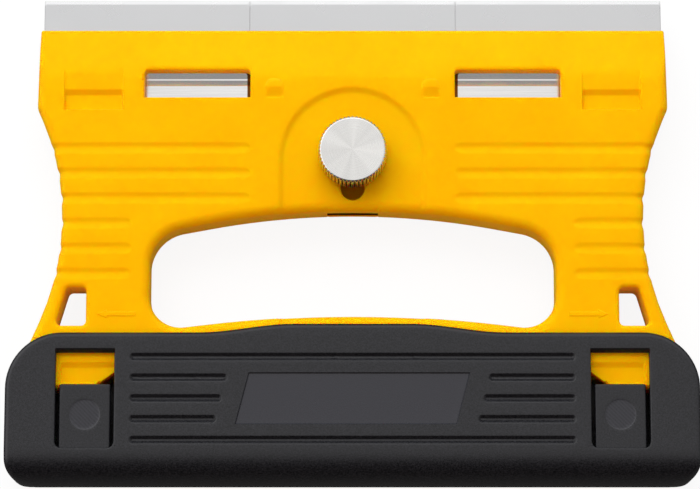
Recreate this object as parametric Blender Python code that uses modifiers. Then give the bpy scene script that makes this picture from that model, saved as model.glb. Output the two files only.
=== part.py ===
"""Wide razor scraper: a two-shell D handle, a retractable carriage with three blades, and a slip-on cover.

The tool lies on its back: X runs across it, Y points at the cutting edge and Z points out of the face that
carries the thumb screw. Setbacks are distances behind the nose edge, and heights are from the middle plane.
Units are metres.
"""

import math

import bmesh
import bpy
from mathutils import Matrix, Vector

MM = 0.001

# Blades
BLADE_COUNT = 3
BLADE_WIDTH = 50.6 * MM
BLADE_GAP = 0.2 * MM
BLADE_DEPTH = 21.0 * MM
BLADE_THICKNESS = 0.4 * MM
BLADE_BEVEL = 1.0 * MM
BLADE_EDGE = 0.06 * MM
BLADE_EXPOSURE = 8.4 * MM
PEG_RADIUS = 1.0 * MM
PEG_CLEARANCE = 0.15 * MM
PEG_SPACING = 30.0 * MM

# Tray and clamp plates
TRAY_THICKNESS = 1.2 * MM
CLAMP_THICKNESS = 1.0 * MM
STACK_GAP = 0.1 * MM
PLATE_INSET = 0.3 * MM
PLATE_MARGIN = 0.3 * MM
TAIL_WIDTH = 62.0 * MM
TAIL_LENGTH = 17.1 * MM
NECK_WIDTH = 12.0 * MM
NECK_MARGIN = 5.2 * MM
CLAMP_TAIL_WIDTH = 28.0 * MM
CLAMP_TAIL_MARGIN = 4.4 * MM
PLATE_CORNER = 2.0 * MM
TAB_SPACING = 76.1 * MM
TAB_WIDTH = 25.6 * MM
TAB_TAPER = 0.8 * MM
TAB_RAMP = 1.2 * MM
TAB_LENGTH = 3.5 * MM
TAB_RISE = 0.6 * MM
SLIDE_CLEARANCE = 0.2 * MM
RETRACT_TRAVEL = 8.3 * MM

# Thumb screw, washer and nut
SCREW_SETBACK = 32.2 * MM
SHANK_RADIUS = 2.45 * MM
THREAD_CLEARANCE = 0.1 * MM
SLOT_CLEARANCE = 0.45 * MM
KNOB_RADIUS = 8.3 * MM
KNOB_HEIGHT = 7.0 * MM
KNOB_CHAMFER = 0.6 * MM
KNURL_TEETH = 52
KNURL_DEPTH = 0.45 * MM
KNURL_LAND = 0.4 * MM
WASHER_RADIUS = 6.0 * MM
WASHER_THICKNESS = 1.0 * MM
SEAT_GAP = 0.1 * MM
NUT_RADIUS = 3.7 * MM
NUT_SPIGOT_RADIUS = 3.1 * MM
NUT_HEIGHT = 2.6 * MM

# Handle shells
BODY_THICKNESS = 14.0 * MM
EDGE_FILLET = 2.4 * MM
PARTING_GAP = 0.1 * MM
NOSE_MARGIN = 0.3 * MM
NOSE_EDGE = 6.8 * MM
NOSE_SLOPE = 12.7 * MM
SHOULDER_WIDENING = 0.6 * MM
SHOULDER_SETBACK = 20.2 * MM
WAIST_INSET = 6.4 * MM
WAIST_SETBACK = 34.9 * MM
WAIST_RADIUS = 60.0 * MM
FLARE_RADIUS = 63.0 * MM
FLARE_DROP = 15.6 * MM
LUG_FLARE = 10.4 * MM
LUG_WIDTH = 18.4 * MM
LUG_LENGTH = 4.7 * MM
LUG_CORNER = 4.0 * MM
LUG_END_CORNER = 3.0 * MM
LUG_ROOT = 0.6 * MM
LUG_SLANT = 6.5 * MM
TENON_STEP = 0.6 * MM
TENON_COVERED = 1.3 * MM
SHELL_WALL = 2.6 * MM
RIM_WALL = 2.2 * MM

# Hand opening
OPENING_HEIGHT = 25.9 * MM
OPENING_CORNER = 9.6 * MM
OPENING_REAR_CORNER = 7.6 * MM
LEG_WIDTH = 21.5 * MM
RIM_DROP = 9.2 * MM
RIM_RADIUS = 190.0 * MM
BAR_DROP = 6.0 * MM
BAR_RADIUS = 300.0 * MM
BAR_DEPTH = 13.1 * MM

# Windows, arch, nubs, hanging slots and grip grooves
WINDOW_LEAD = 2.3 * MM
WINDOW_TRAIL = 1.3 * MM
WINDOW_SIDE = 0.2 * MM
WINDOW_CORNER = 1.4 * MM
ARCH_RADIUS = 17.4 * MM
ARCH_LEAD = 16.8 * MM
ARCH_DEPTH = 1.0 * MM
ARCH_DRAFT = 1.0 * MM
NUB_SPACING = 38.2 * MM
NUB_WIDTH = 4.4 * MM
NUB_LENGTH = 4.8 * MM
NUB_RIDGE = 3.0 * MM
NUB_HEIGHT = 0.5 * MM
NUB_INSET = 0.3 * MM
NUB_SINK = 0.5 * MM
HANG_SLOT_STRIP = 3.8 * MM
HANG_SLOT_STRIP_REAR = 4.7 * MM
HANG_SLOT_TOP = 4.7 * MM
HANG_SLOT_LENGTH = 9.4 * MM
HANG_SLOT_DROP = 2.5 * MM
HANG_SLOT_CORNER = 0.9 * MM
GROOVE_COUNT = 6
GROOVE_LONG = 3
GROOVE_SETBACK = 30.6 * MM
GROOVE_PITCH = 6.2 * MM
GROOVE_WIDTH = 3.2 * MM
GROOVE_DEPTH = 0.45 * MM
GROOVE_LONG_END = 24.8 * MM
GROOVE_SHORT_LENGTH = 17.1 * MM

# Catches that hold the cover
CATCH_INSET = 17.8 * MM
CATCH_WIDTH = 14.4 * MM
NOSE_CATCH_SETBACK = 15.8 * MM
CATCH_LENGTH = 4.6 * MM
CATCH_DEPTH = 1.5 * MM
CATCH_CHANNEL_DEPTH = 0.5 * MM
TENON_CATCH_LENGTH = 4.8 * MM
TENON_CATCH_LEAD = 0.1 * MM

# Shell screws
SCREW_SHANK = 1.25 * MM
SCREW_PILOT_GAP = 0.1 * MM
SCREW_HOLE_GAP = 0.3 * MM
SCREW_HEAD_RADIUS = 2.75 * MM
SCREW_HEAD_HEIGHT = 2.0 * MM
SCREW_CROWN = 1.7 * MM
SCREW_RECESS = 2.4 * MM
SCREW_BITE = 4.5 * MM
HEAD_SCREW_INSET = 10.6 * MM
HEAD_SCREW_SETBACK = 36.8 * MM
LEG_SCREW_INSET = 8.2 * MM
LEG_SCREW_RISE = 2.2 * MM
BAR_SCREW_SPACING = 50.0 * MM

# Cover
COVER_WALL = 1.4 * MM
COVER_CLEARANCE = 0.5 * MM
COVER_SIDE_WALL = 1.7 * MM
COVER_SIDE_CLEARANCE = 0.6 * MM
COVER_EDGE_FILLET = 1.0 * MM
COVER_TOP_CORNER = 13.5 * MM
COVER_END_CORNER = 6.0 * MM
COVER_DEPTH = 38.6 * MM
BAR_SHOWING = 2.3 * MM
HUMP_HEIGHT = 2.1 * MM
HUMP_FLAT = 14.0 * MM
HUMP_END = 37.0 * MM
TONGUE_TIP = 12.5 * MM
TONGUE_SHIFT = 0.9 * MM
TONGUE_WIDTH = 11.4 * MM
TONGUE_THICKNESS = 1.3 * MM
TONGUE_GAP = 1.3 * MM
TONGUE_CLEARANCE = 0.3 * MM
TONGUE_WINDOW_LEAD = 4.0 * MM
TONGUE_WINDOW_LENGTH = 24.0 * MM
TONGUE_ROOT = 1.2 * MM
BEAD_HEIGHT = 0.2 * MM
BEAD_LENGTH = 1.0 * MM
BEAD_INSET = 0.3 * MM
RIB_COUNT = 5
RIB_SETBACK = 6.1 * MM
RIB_PITCH = 5.0 * MM
RIB_RADIUS = 0.9 * MM
RIB_DEPTH = 0.7 * MM
RIB_MARGIN = 3.6 * MM
PANEL_WIDTH = 53.0 * MM
PANEL_HEIGHT = 12.4 * MM
PANEL_SLANT = 3.2 * MM
PANEL_DEPTH = 0.4 * MM
PANEL_MARGIN = 4.7 * MM

# Mesh resolution and the overlap that keeps cuts clean
CHORD_SAG = 0.04 * MM
FILLET_STEPS = 2
ROUND_STEPS = 28
SCREW_STEPS = 12
PEG_STEPS = 12
HUMP_STEPS = 6
ARC_STEPS = 3
CUT = 1.0 * MM
REACH = 20.0 * MM

# Places that follow from the sizes above
BLADES_HALF = (BLADE_COUNT * BLADE_WIDTH + (BLADE_COUNT - 1) * BLADE_GAP) / 2
PLATE_HALF = BLADES_HALF - NOSE_MARGIN
PLATE_REAR = BLADE_DEPTH - BLADE_EXPOSURE + PLATE_MARGIN
TAB_END = PLATE_REAR + TAB_LENGTH
TAIL_END = PLATE_REAR + TAIL_LENGTH
NECK_END = SCREW_SETBACK + NECK_MARGIN
SLOT_HALF = SHANK_RADIUS + SLOT_CLEARANCE
SLOT_END = SCREW_SETBACK + RETRACT_TRAVEL + SLOT_HALF
RIM = SLOT_END + RIM_WALL
BAR_FRONT = RIM + OPENING_HEIGHT
BAR_REAR = BAR_FRONT + BAR_DEPTH
COVER_FRONT = BAR_FRONT + BAR_SHOWING
COVER_SIDE = COVER_FRONT + HUMP_HEIGHT
COVER_END = COVER_FRONT + COVER_DEPTH
LUG_END = BAR_REAR + LUG_LENGTH
TENON_SETBACK = COVER_SIDE + TENON_COVERED
NOSE_HALF = BLADES_HALF + NOSE_MARGIN
SHOULDER_HALF = NOSE_HALF + SHOULDER_WIDENING
WAIST_HALF = SHOULDER_HALF - WAIST_INSET
LUG_HALF = WAIST_HALF + LUG_FLARE
OPENING_HALF = WAIST_HALF - LEG_WIDTH
FLARE_SETBACK = RIM + FLARE_DROP
CATCH_X = LUG_HALF - CATCH_INSET
TONGUE_X = CATCH_X + TONGUE_SHIFT
TONGUE_TIP_SETBACK = COVER_SIDE + TONGUE_TIP
BODY_HALF = BODY_THICKNESS / 2
TENON_HALF = BODY_HALF - TENON_STEP
COVER_INNER = BODY_HALF + COVER_CLEARANCE
COVER_HALF = COVER_INNER + COVER_WALL
COVER_INNER_WIDTH = LUG_HALF + COVER_SIDE_CLEARANCE
COVER_OUTER_WIDTH = COVER_INNER_WIDTH + COVER_SIDE_WALL
MIDDLE = COVER_HALF
NOSE = (BLADE_EXPOSURE + COVER_END) / 2 - BLADE_EXPOSURE
CLAMP_BASE = BLADE_THICKNESS / 2 + STACK_GAP
CLAMP_TOP = CLAMP_BASE + CLAMP_THICKNESS
TRAY_TOP = -CLAMP_BASE
TRAY_BASE = TRAY_TOP - TRAY_THICKNESS
POCKET_TOP = CLAMP_TOP + TAB_RISE + SLIDE_CLEARANCE
POCKET_BASE = TRAY_BASE - SLIDE_CLEARANCE
NUT_TOP = TRAY_BASE - STACK_GAP
NUT_BASE = NUT_TOP - NUT_HEIGHT
ARCH_FLOOR = BODY_HALF - ARCH_DEPTH
WASHER_BASE = ARCH_FLOOR + SEAT_GAP
KNOB_BASE = WASHER_BASE + WASHER_THICKNESS + SEAT_GAP
WASHER_BORE = SHANK_RADIUS + THREAD_CLEARANCE


def ahead(setback):
    """World Y of a setback behind the nose edge."""
    return NOSE - setback


# Building blocks


def new_collection(name, hidden=False):
    group = bpy.data.collections.new(name)
    bpy.context.scene.collection.children.link(group)
    group.hide_render = hidden
    return group


def new_material(name, colour, roughness, metallic=0.0):
    material = bpy.data.materials.new(name)
    material.use_nodes = True
    shader = material.node_tree.nodes["Principled BSDF"]
    shader.inputs["Base Color"].default_value = (*colour, 1.0)
    shader.inputs["Roughness"].default_value = roughness
    shader.inputs["Metallic"].default_value = metallic
    return material


def mesh_object(name, mesh, group):
    obj = bpy.data.objects.new(name, mesh)
    group.objects.link(obj)
    return obj


def from_bmesh(name, shape, group):
    """Object with the outward facing faces of a bmesh, which is freed."""
    bmesh.ops.recalc_face_normals(shape, faces=shape.faces)
    mesh = bpy.data.meshes.new(name)
    shape.to_mesh(mesh)
    shape.free()
    return mesh_object(name, mesh, group)


def box(name, group, across, along, up):
    """Box between two X, two setbacks and two heights."""
    middle = Vector((sum(across) / 2, ahead(sum(along) / 2), MIDDLE + sum(up) / 2))
    size = (abs(across[1] - across[0]), abs(along[1] - along[0]), abs(up[1] - up[0]))
    shape = bmesh.new()
    bmesh.ops.create_cube(shape, matrix=Matrix.Translation(middle) @ Matrix.Diagonal((*size, 1.0)))
    return from_bmesh(name, shape, group)


def post(name, group, x, setback, radius, up, steps):
    """Upright cylinder between two heights."""
    centre = Vector((x, ahead(setback), MIDDLE + sum(up) / 2))
    shape = bmesh.new()
    bmesh.ops.create_cone(
        shape,
        cap_ends=True,
        segments=steps,
        radius1=radius,
        radius2=radius,
        depth=up[1] - up[0],
        matrix=Matrix.Translation(centre),
    )
    return from_bmesh(name, shape, group)


def solid_from_curve(name, curve, group, matrix):
    """Welded mesh object of a curve, placed by a matrix."""
    helper = bpy.data.objects.new(name + "_curve", curve)
    group.objects.link(helper)
    bpy.context.view_layer.update()
    evaluated = helper.evaluated_get(bpy.context.evaluated_depsgraph_get())
    mesh = bpy.data.meshes.new_from_object(evaluated)
    bpy.data.objects.remove(helper)
    bpy.data.curves.remove(curve)
    shape = bmesh.new()
    shape.from_mesh(mesh)
    bpy.data.meshes.remove(mesh)
    bmesh.ops.remove_doubles(shape, verts=shape.verts, dist=MM / 1000)
    bmesh.ops.transform(shape, matrix=matrix, verts=shape.verts)
    return from_bmesh(name, shape, group)


def extruded(name, group, loops, half_height, matrix, fillet=0.0, fillet_steps=0):
    """Flat outline with holes, extruded both ways, with its rims rounded off inside the outline."""
    curve = bpy.data.curves.new(name, "CURVE")
    curve.dimensions = "2D"
    curve.fill_mode = "BOTH"
    curve.extrude = half_height - fillet
    curve.bevel_depth = fillet
    curve.bevel_resolution = fillet_steps
    curve.offset = -fillet
    for loop in loops:
        spline = curve.splines.new("POLY")
        spline.points.add(len(loop) - 1)
        spline.use_cyclic_u = True
        for point, (x, y) in zip(spline.points, loop):
            point.co = (x, y, 0.0, 1.0)
    return solid_from_curve(name, curve, group, matrix)


def plate(name, group, loops, up, fillet=0.0, fillet_steps=0):
    """Extruded outline between two heights. Its loops are (x, setback) points."""
    flat = [[(x, ahead(setback)) for x, setback in loop] for loop in loops]
    lift = Matrix.Translation((0.0, 0.0, MIDDLE + sum(up) / 2))
    return extruded(name, group, flat, (up[1] - up[0]) / 2, lift, fillet, fillet_steps)


def prism(name, group, profile, across):
    """Profile of (setback, height) points carried between two X."""
    flat = [[(ahead(setback), MIDDLE + height) for setback, height in profile]]
    turn = Matrix(((0, 0, 1), (1, 0, 0), (0, 1, 0))).to_4x4()
    shift = Matrix.Translation((sum(across) / 2, 0.0, 0.0))
    return extruded(name, group, flat, (across[1] - across[0]) / 2, shift @ turn)


def tube(name, group, points, radius):
    """Round bar along (x, setback, height) points."""
    curve = bpy.data.curves.new(name, "CURVE")
    curve.dimensions = "3D"
    curve.bevel_depth = radius
    curve.bevel_resolution = 1
    curve.use_fill_caps = True
    spline = curve.splines.new("POLY")
    spline.points.add(len(points) - 1)
    for point, (x, setback, height) in zip(spline.points, points):
        point.co = (x, ahead(setback), MIDDLE + height, 1.0)
    return solid_from_curve(name, curve, group, Matrix.Identity(4))


def turned(name, group, profile, x, setback, steps, ring=False):
    """Profile of (radius, height) points turned round an upright axis."""
    mesh = bpy.data.meshes.new(name)
    count = len(profile)
    edges = [(i, (i + 1) % count) for i in range(count if ring else count - 1)]
    mesh.from_pydata([(radius, 0.0, height) for radius, height in profile], edges, [])
    obj = mesh_object(name, mesh, group)
    obj.location = (x, ahead(setback), MIDDLE)
    screw = obj.modifiers.new("turn", "SCREW")
    screw.steps = steps
    screw.render_steps = steps
    screw.use_merge_vertices = True
    screw.merge_threshold = MM / 1000
    screw.use_normal_calculate = True
    screw.use_normal_flip = True
    return obj


def boolean(obj, operation, other):
    """Boolean with an object, or with every object of a collection. It waits for switch_booleans_on."""
    modifier = obj.modifiers.new(operation.lower(), "BOOLEAN")
    modifier.operation = operation
    modifier.solver = "EXACT"
    modifier.show_viewport = False
    if isinstance(other, bpy.types.Collection):
        modifier.operand_type = "COLLECTION"
        modifier.collection = other
    else:
        modifier.object = other


def switch_booleans_on():
    """Booleans are worked out once, when every piece is there."""
    for obj in bpy.data.objects:
        for modifier in obj.modifiers:
            modifier.show_viewport = True


def rounded(corners):
    """Points of a closed outline of (x, setback, radius) corners, each corner an arc within its sides."""
    count = len(corners)
    places = [Vector(corner[:2]) for corner in corners]
    turns = []
    for i in range(count):
        before = places[i] - places[i - 1]
        after = places[(i + 1) % count] - places[i]
        turns.append(before.angle_signed(after))
    reach = [corner[2] * abs(math.tan(turn / 2)) for corner, turn in zip(corners, turns)]
    for i in range(count):
        j = (i + 1) % count
        side = (places[j] - places[i]).length
        if reach[i] + reach[j] > side:
            share = side / (reach[i] + reach[j])
            reach[i] *= share
            reach[j] *= share
    points = []
    for i in range(count):
        if reach[i] < MM / 1000:
            points.append(tuple(places[i]))
            continue
        points.extend(corner_arc(places[i - 1], places[i], turns[i], reach[i]))
    return points


def corner_arc(before, corner, turn, reach):
    """Arc that starts a given reach before a corner and turns through its angle."""
    radius = reach / abs(math.tan(turn / 2))
    heading = (corner - before).normalized()
    start = corner - heading * reach
    side = Vector((heading.y, -heading.x)) * math.copysign(1.0, turn)
    centre = start + side * radius
    step = 2 * math.acos(max(0.5, 1 - CHORD_SAG / radius))
    count = max(2, math.ceil(abs(turn) / step))
    arm = start - centre
    arc = []
    for k in range(count + 1):
        spoke = arm.copy()
        spoke.rotate(Matrix.Rotation(-turn * k / count, 2))
        arc.append(tuple(centre + spoke))
    return arc


def both_sides(corners):
    """Closed corner list of a right half and its mirror image."""
    return corners + [(-x, setback, radius) for x, setback, radius in reversed(corners)]


def circle(x, setback, radius, steps):
    angles = [2 * math.pi * k / steps for k in range(steps)]
    return [(x + radius * math.cos(a), setback + radius * math.sin(a)) for a in angles]


def stadium(half_width, first, last):
    """Long hole along the setback with round ends centred at first and last."""
    return rounded(
        [
            (half_width, first - half_width, half_width),
            (half_width, last + half_width, half_width),
            (-half_width, last + half_width, half_width),
            (-half_width, first - half_width, half_width),
        ]
    )


# Handle outline


def body_corners():
    """Outer outline of the handle, which runs past the nose edge so that the nose is cut square."""
    lug_inner = LUG_HALF - LUG_WIDTH
    return both_sides(
        [
            (NOSE_HALF, -REACH / 2, EDGE_FILLET * 2),
            (SHOULDER_HALF, SHOULDER_SETBACK, LUG_CORNER),
            (WAIST_HALF, WAIST_SETBACK, WAIST_RADIUS),
            (WAIST_HALF, FLARE_SETBACK, FLARE_RADIUS),
            (LUG_HALF, BAR_REAR + LUG_ROOT, LUG_CORNER),
            (LUG_HALF, LUG_END, LUG_END_CORNER),
            (lug_inner, LUG_END, LUG_END_CORNER),
            (lug_inner - LUG_SLANT, BAR_REAR, LUG_CORNER),
        ]
    )


def half_width(setback):
    """Half width of the handle's outline at a setback."""
    outline = rounded(body_corners())
    widths = []
    for (x, a), (other, b) in zip(outline, outline[1:]):
        if min(a, b) <= setback <= max(a, b) and a != b:
            widths.append(x + (other - x) * (setback - a) / (b - a))
    return max(widths)


def opening_loop():
    """Hand opening: its rim and the grip bar are long arcs between round corners."""
    rim_lean = math.atan2(RIM_DROP, OPENING_HALF)
    bar_lean = math.atan2(BAR_DROP, OPENING_HALF)
    rim_peak = RIM - RIM_RADIUS * (1 / math.cos(rim_lean) - 1)
    bar_peak = BAR_FRONT - BAR_RADIUS * (1 / math.cos(bar_lean) - 1)
    return rounded(
        [
            (0.0, rim_peak, RIM_RADIUS),
            (OPENING_HALF, rim_peak + RIM_DROP, OPENING_CORNER),
            (OPENING_HALF, bar_peak + BAR_DROP, OPENING_REAR_CORNER),
            (0.0, bar_peak, BAR_RADIUS),
            (-OPENING_HALF, bar_peak + BAR_DROP, OPENING_REAR_CORNER),
            (-OPENING_HALF, rim_peak + RIM_DROP, OPENING_CORNER),
        ]
    )


def screw_places():
    """(x, setback) of the six screws that join the shells."""
    places = []
    for side in (-1, 1):
        places.append((side * (WAIST_HALF - HEAD_SCREW_INSET), HEAD_SCREW_SETBACK))
        places.append((side * (OPENING_HALF + LEG_SCREW_INSET), BAR_FRONT - LEG_SCREW_RISE))
        places.append((side * BAR_SCREW_SPACING / 2, BAR_FRONT + BAR_DEPTH / 2))
    return places


# Cuts in the shells


def cut_nose(group, side):
    """Front end and sloped face of one side of the nose."""
    box("nose_front", group, (-LUG_HALF, LUG_HALF), (-REACH, 0.0), (-REACH, REACH))
    fall = (BODY_HALF - NOSE_EDGE / 2) / NOSE_SLOPE
    profile = [
        (NOSE_SLOPE + CUT, side * (BODY_HALF + fall * CUT)),
        (-CUT, side * (NOSE_EDGE / 2 - fall * CUT)),
        (-CUT, side * (BODY_HALF + CUT)),
        (NOSE_SLOPE + CUT, side * (BODY_HALF + CUT)),
    ]
    prism("nose_slope", group, profile, (-LUG_HALF, LUG_HALF))


def cut_tenon(group, side):
    """Thinner rear part that goes inside the cover."""
    span = (TENON_SETBACK, LUG_END + CUT)
    wide = LUG_HALF + CUT
    box("tenon", group, (-wide, wide), span, (side * TENON_HALF, side * REACH))


def cut_catches(group, side):
    """Catch pockets for the cover's tongues on the nose and on the tenon."""
    half = CATCH_WIDTH / 2
    nose_end = NOSE_CATCH_SETBACK + CATCH_LENGTH
    tenon_end = TONGUE_TIP_SETBACK - TENON_CATCH_LEAD
    tenon_run = (tenon_end - TENON_CATCH_LENGTH, tenon_end)
    floor = side * (BODY_HALF - CATCH_DEPTH)
    channel = side * (BODY_HALF - CATCH_CHANNEL_DEPTH)
    for x in (-CATCH_X, CATCH_X):
        across = (x - half, x + half)
        box("channel", group, across, (0.0, NOSE_CATCH_SETBACK + CUT), (channel, side * REACH))
        box("nose_catch", group, across, (NOSE_CATCH_SETBACK, nose_end), (floor, side * REACH))
        box("tenon_catch", group, across, tenon_run, (floor, side * REACH))


def cut_grooves(group):
    """Grip grooves that run over the face, round the outer edge and over the back."""
    radius = (GROOVE_WIDTH**2 / 4 + GROOVE_DEPTH**2) / (2 * GROOVE_DEPTH)
    lift = radius - GROOVE_DEPTH
    bend = EDGE_FILLET + lift
    height = BODY_HALF + lift
    for k in range(GROOVE_COUNT):
        setback = GROOVE_SETBACK + k * GROOVE_PITCH
        edge = half_width(setback) + lift
        inner = GROOVE_LONG_END if k < GROOVE_LONG else WAIST_HALF - GROOVE_SHORT_LENGTH
        front = [(inner, height)]
        for step in range(ARC_STEPS + 1):
            angle = math.pi / 2 * step / ARC_STEPS
            front.append((edge - bend + bend * math.sin(angle), height - bend + bend * math.cos(angle)))
        path = front + [(x, -z) for x, z in reversed(front)]
        for side in (-1, 1):
            tube("groove", group, [(side * x, setback, z) for x, z in path], radius)


def cut_hang_slots(group):
    """Through slots in the legs, whose outer sides lean with the flare of the handle."""
    bottom = BAR_FRONT + HANG_SLOT_DROP
    top = bottom - HANG_SLOT_LENGTH
    upper = half_width(top) - HANG_SLOT_STRIP
    lower = half_width(bottom) - HANG_SLOT_STRIP_REAR
    inner = upper - HANG_SLOT_TOP
    for side in (-1, 1):
        corners = [(inner, top), (upper, top), (lower, bottom), (inner, bottom)]
        loop = rounded([(side * x, setback, HANG_SLOT_CORNER) for x, setback in corners])
        plate("hang_slot", group, [loop], (-REACH, REACH))


def cut_carriage_pocket(group):
    """Room for the tray, blades and clamp over their whole travel, open at the nose and its sides."""
    tail = TAIL_WIDTH / 2 + SLIDE_CLEARANCE
    neck = NECK_WIDTH / 2 + SLIDE_CLEARANCE
    run = RETRACT_TRAVEL + SLIDE_CLEARANCE
    room = both_sides(
        [
            (LUG_HALF, -CUT, 0.0),
            (LUG_HALF, PLATE_REAR + run, 0.0),
            (tail, PLATE_REAR + run, PLATE_CORNER),
            (tail, TAIL_END + run, 0.0),
            (neck, TAIL_END + run, PLATE_CORNER),
            (neck, RIM + RIM_WALL, 0.0),
        ]
    )
    plate("carriage_room", group, [rounded(room)], (POCKET_BASE, POCKET_TOP))
    nut = NUT_RADIUS + SLIDE_CLEARANCE
    loop = stadium(nut, SCREW_SETBACK, SCREW_SETBACK + RETRACT_TRAVEL)
    plate("nut_room", group, [loop], (NUT_BASE - SLIDE_CLEARANCE, 0.0))


def cut_lightening(group):
    """Hollows in the legs and the grip bar, which leave a wall and the screw bosses."""
    height = (SHELL_WALL - BODY_HALF, BODY_HALF - SHELL_WALL)
    leg = (OPENING_HALF + SHELL_WALL + EDGE_FILLET, WAIST_HALF - SHELL_WALL - EDGE_FILLET)
    leg_rear = BAR_FRONT + HANG_SLOT_DROP - HANG_SLOT_LENGTH - SHELL_WALL * 2
    leg_front = HEAD_SCREW_SETBACK + SHELL_WALL * 2
    bar = (BAR_FRONT + SHELL_WALL + EDGE_FILLET / 2, BAR_REAR - SHELL_WALL)
    boss = BAR_SCREW_SPACING / 2 - SHELL_WALL * 2
    for side in (-1, 1):
        box("leg_hollow", group, (side * leg[0], side * leg[1]), (leg_front, leg_rear), height)
    box("bar_hollow", group, (-boss, boss), bar, height)


def cut_front_face(group):
    """Arch round the thumb screw, its slot and the two windows."""
    arch = rounded(
        both_sides(
            [
                (ARCH_RADIUS, SCREW_SETBACK - ARCH_LEAD, ARCH_RADIUS),
                (ARCH_RADIUS, RIM + RIM_WALL, 0.0),
            ]
        )
    )
    plate("arch", group, [arch], (ARCH_FLOOR, ARCH_FLOOR + 2 * ARCH_DRAFT + CUT), ARCH_DRAFT)
    slot = stadium(SLOT_HALF, SCREW_SETBACK, SCREW_SETBACK + RETRACT_TRAVEL)
    plate("screw_slot", group, [slot], (0.0, REACH))
    half = TAB_WIDTH / 2 + WINDOW_SIDE
    front = PLATE_REAR - WINDOW_LEAD
    rear = TAB_END + WINDOW_TRAIL
    run = TAB_END + RETRACT_TRAVEL + SLIDE_CLEARANCE
    for x in (-TAB_SPACING / 2, TAB_SPACING / 2):
        window = rounded(
            [
                (x - half, front, WINDOW_CORNER),
                (x + half, front, WINDOW_CORNER),
                (x + half, rear, 0.0),
                (x - half, rear, 0.0),
            ]
        )
        plate("window", group, [window], (0.0, REACH))
        room = half + SLIDE_CLEARANCE
        box("tab_room", group, (x - room, x + room), (PLATE_REAR, run), (0.0, POCKET_TOP))


def add_nubs(group, side):
    """Low roof-shaped nubs that take up the play of the cover, with a round front end."""
    radius = NUB_WIDTH / 2
    start = NOSE_SLOPE + NUB_INSET
    front = start + radius
    rear = start + NUB_LENGTH
    ridge = start + NUB_LENGTH / 2
    for x in (-NUB_SPACING / 2, NUB_SPACING / 2):
        foot = [(x + px, front - radius * py) for px, py in nub_arc(radius)]
        foot += [(x + radius, rear), (x - radius, rear)]
        points = [(px, setback, -NUB_SINK) for px, setback in foot]
        points += [(px, setback, 0.0) for px, setback in foot]
        points += [(x + side_x * NUB_RIDGE / 2, ridge, NUB_HEIGHT) for side_x in (-1, 1)]
        shape = bmesh.new()
        for px, setback, rise in points:
            shape.verts.new((px, ahead(setback), MIDDLE + side * (BODY_HALF + rise)))
        bmesh.ops.convex_hull(shape, input=shape.verts)
        from_bmesh("nub", shape, group)


def nub_arc(radius):
    """Half circle of (x, unit rise) points from left to right."""
    angles = [math.pi * (1 - k / PEG_STEPS) for k in range(PEG_STEPS + 1)]
    return [(radius * math.cos(a), math.sin(a)) for a in angles]


# Handle shells


def make_shell(name, group, cutters, material, side):
    """One half of the handle, cut from a rounded blank at the parting plane. Side 1 is the front."""
    loops = [rounded(body_corners()), opening_loop()]
    shell = plate(name, group, loops, (-BODY_HALF, BODY_HALF), EDGE_FILLET, FILLET_STEPS)
    shell.data.materials.append(material)
    nubs = bpy.data.collections.new(name + "_nubs")
    cuts = bpy.data.collections.new(name + "_cuts")
    cutters.children.link(nubs)
    cutters.children.link(cuts)
    add_nubs(nubs, side)
    boolean(shell, "UNION", nubs)
    wide = LUG_HALF + CUT
    other_half = (side * PARTING_GAP / 2, -side * REACH)
    box("other_half", cuts, (-wide, wide), (-REACH, LUG_END + REACH), other_half)
    cut_nose(cuts, side)
    cut_tenon(cuts, side)
    cut_grooves(cuts)
    cut_hang_slots(cuts)
    cut_carriage_pocket(cuts)
    cut_lightening(cuts)
    if side > 0:
        cut_catches(cuts, side)
        cut_front_face(cuts)
    for x, setback in screw_places():
        cut_screw_hole(cuts, x, setback, side)
    boolean(shell, "DIFFERENCE", cuts)
    return shell


def cut_screw_hole(group, x, setback, side):
    """Blind pilot hole in the front shell, or clearance hole and head recess in the back shell."""
    if side > 0:
        depth = SCREW_BITE + SCREW_HOLE_GAP
        post("pilot", group, x, setback, SCREW_SHANK + SCREW_PILOT_GAP, (-CUT, depth), SCREW_STEPS)
        return
    post("screw_hole", group, x, setback, SCREW_SHANK + SCREW_HOLE_GAP, (-REACH, CUT), SCREW_STEPS)
    head = SCREW_HEAD_RADIUS + SCREW_HOLE_GAP
    recess = SCREW_RECESS - back_level(setback)
    post("head_recess", group, x, setback, head, (-REACH, recess), SCREW_STEPS)


def back_level(setback):
    """Depth of the back face below the middle plane at a setback."""
    return TENON_HALF if setback > TENON_SETBACK else BODY_HALF


def make_shell_screw(name, group, material, x, setback):
    """Pan-head tapping screw, driven from the back."""
    seat = SCREW_RECESS - back_level(setback) - SEAT_GAP
    top = seat - SCREW_HEAD_HEIGHT
    profile = [
        (0.0, top),
        (SCREW_CROWN, top),
        (SCREW_HEAD_RADIUS, seat - SCREW_HEAD_HEIGHT / 2),
        (SCREW_HEAD_RADIUS, seat),
        (SCREW_SHANK, seat),
        (SCREW_SHANK, SCREW_BITE - SCREW_SHANK),
        (0.0, SCREW_BITE),
    ]
    screw = turned(name, group, profile, x, setback, SCREW_STEPS)
    screw.data.materials.append(material)
    return screw


# Blade carriage


def blade_places():
    pitch = BLADE_WIDTH + BLADE_GAP
    return [(k - (BLADE_COUNT - 1) / 2) * pitch for k in range(BLADE_COUNT)]


def peg_places():
    """(x, setback) of two pegs for each blade, on the blade's long middle line."""
    setback = BLADE_DEPTH / 2 - BLADE_EXPOSURE
    return [(x + s * PEG_SPACING / 2, setback) for x in blade_places() for s in (-1, 1)]


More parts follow.
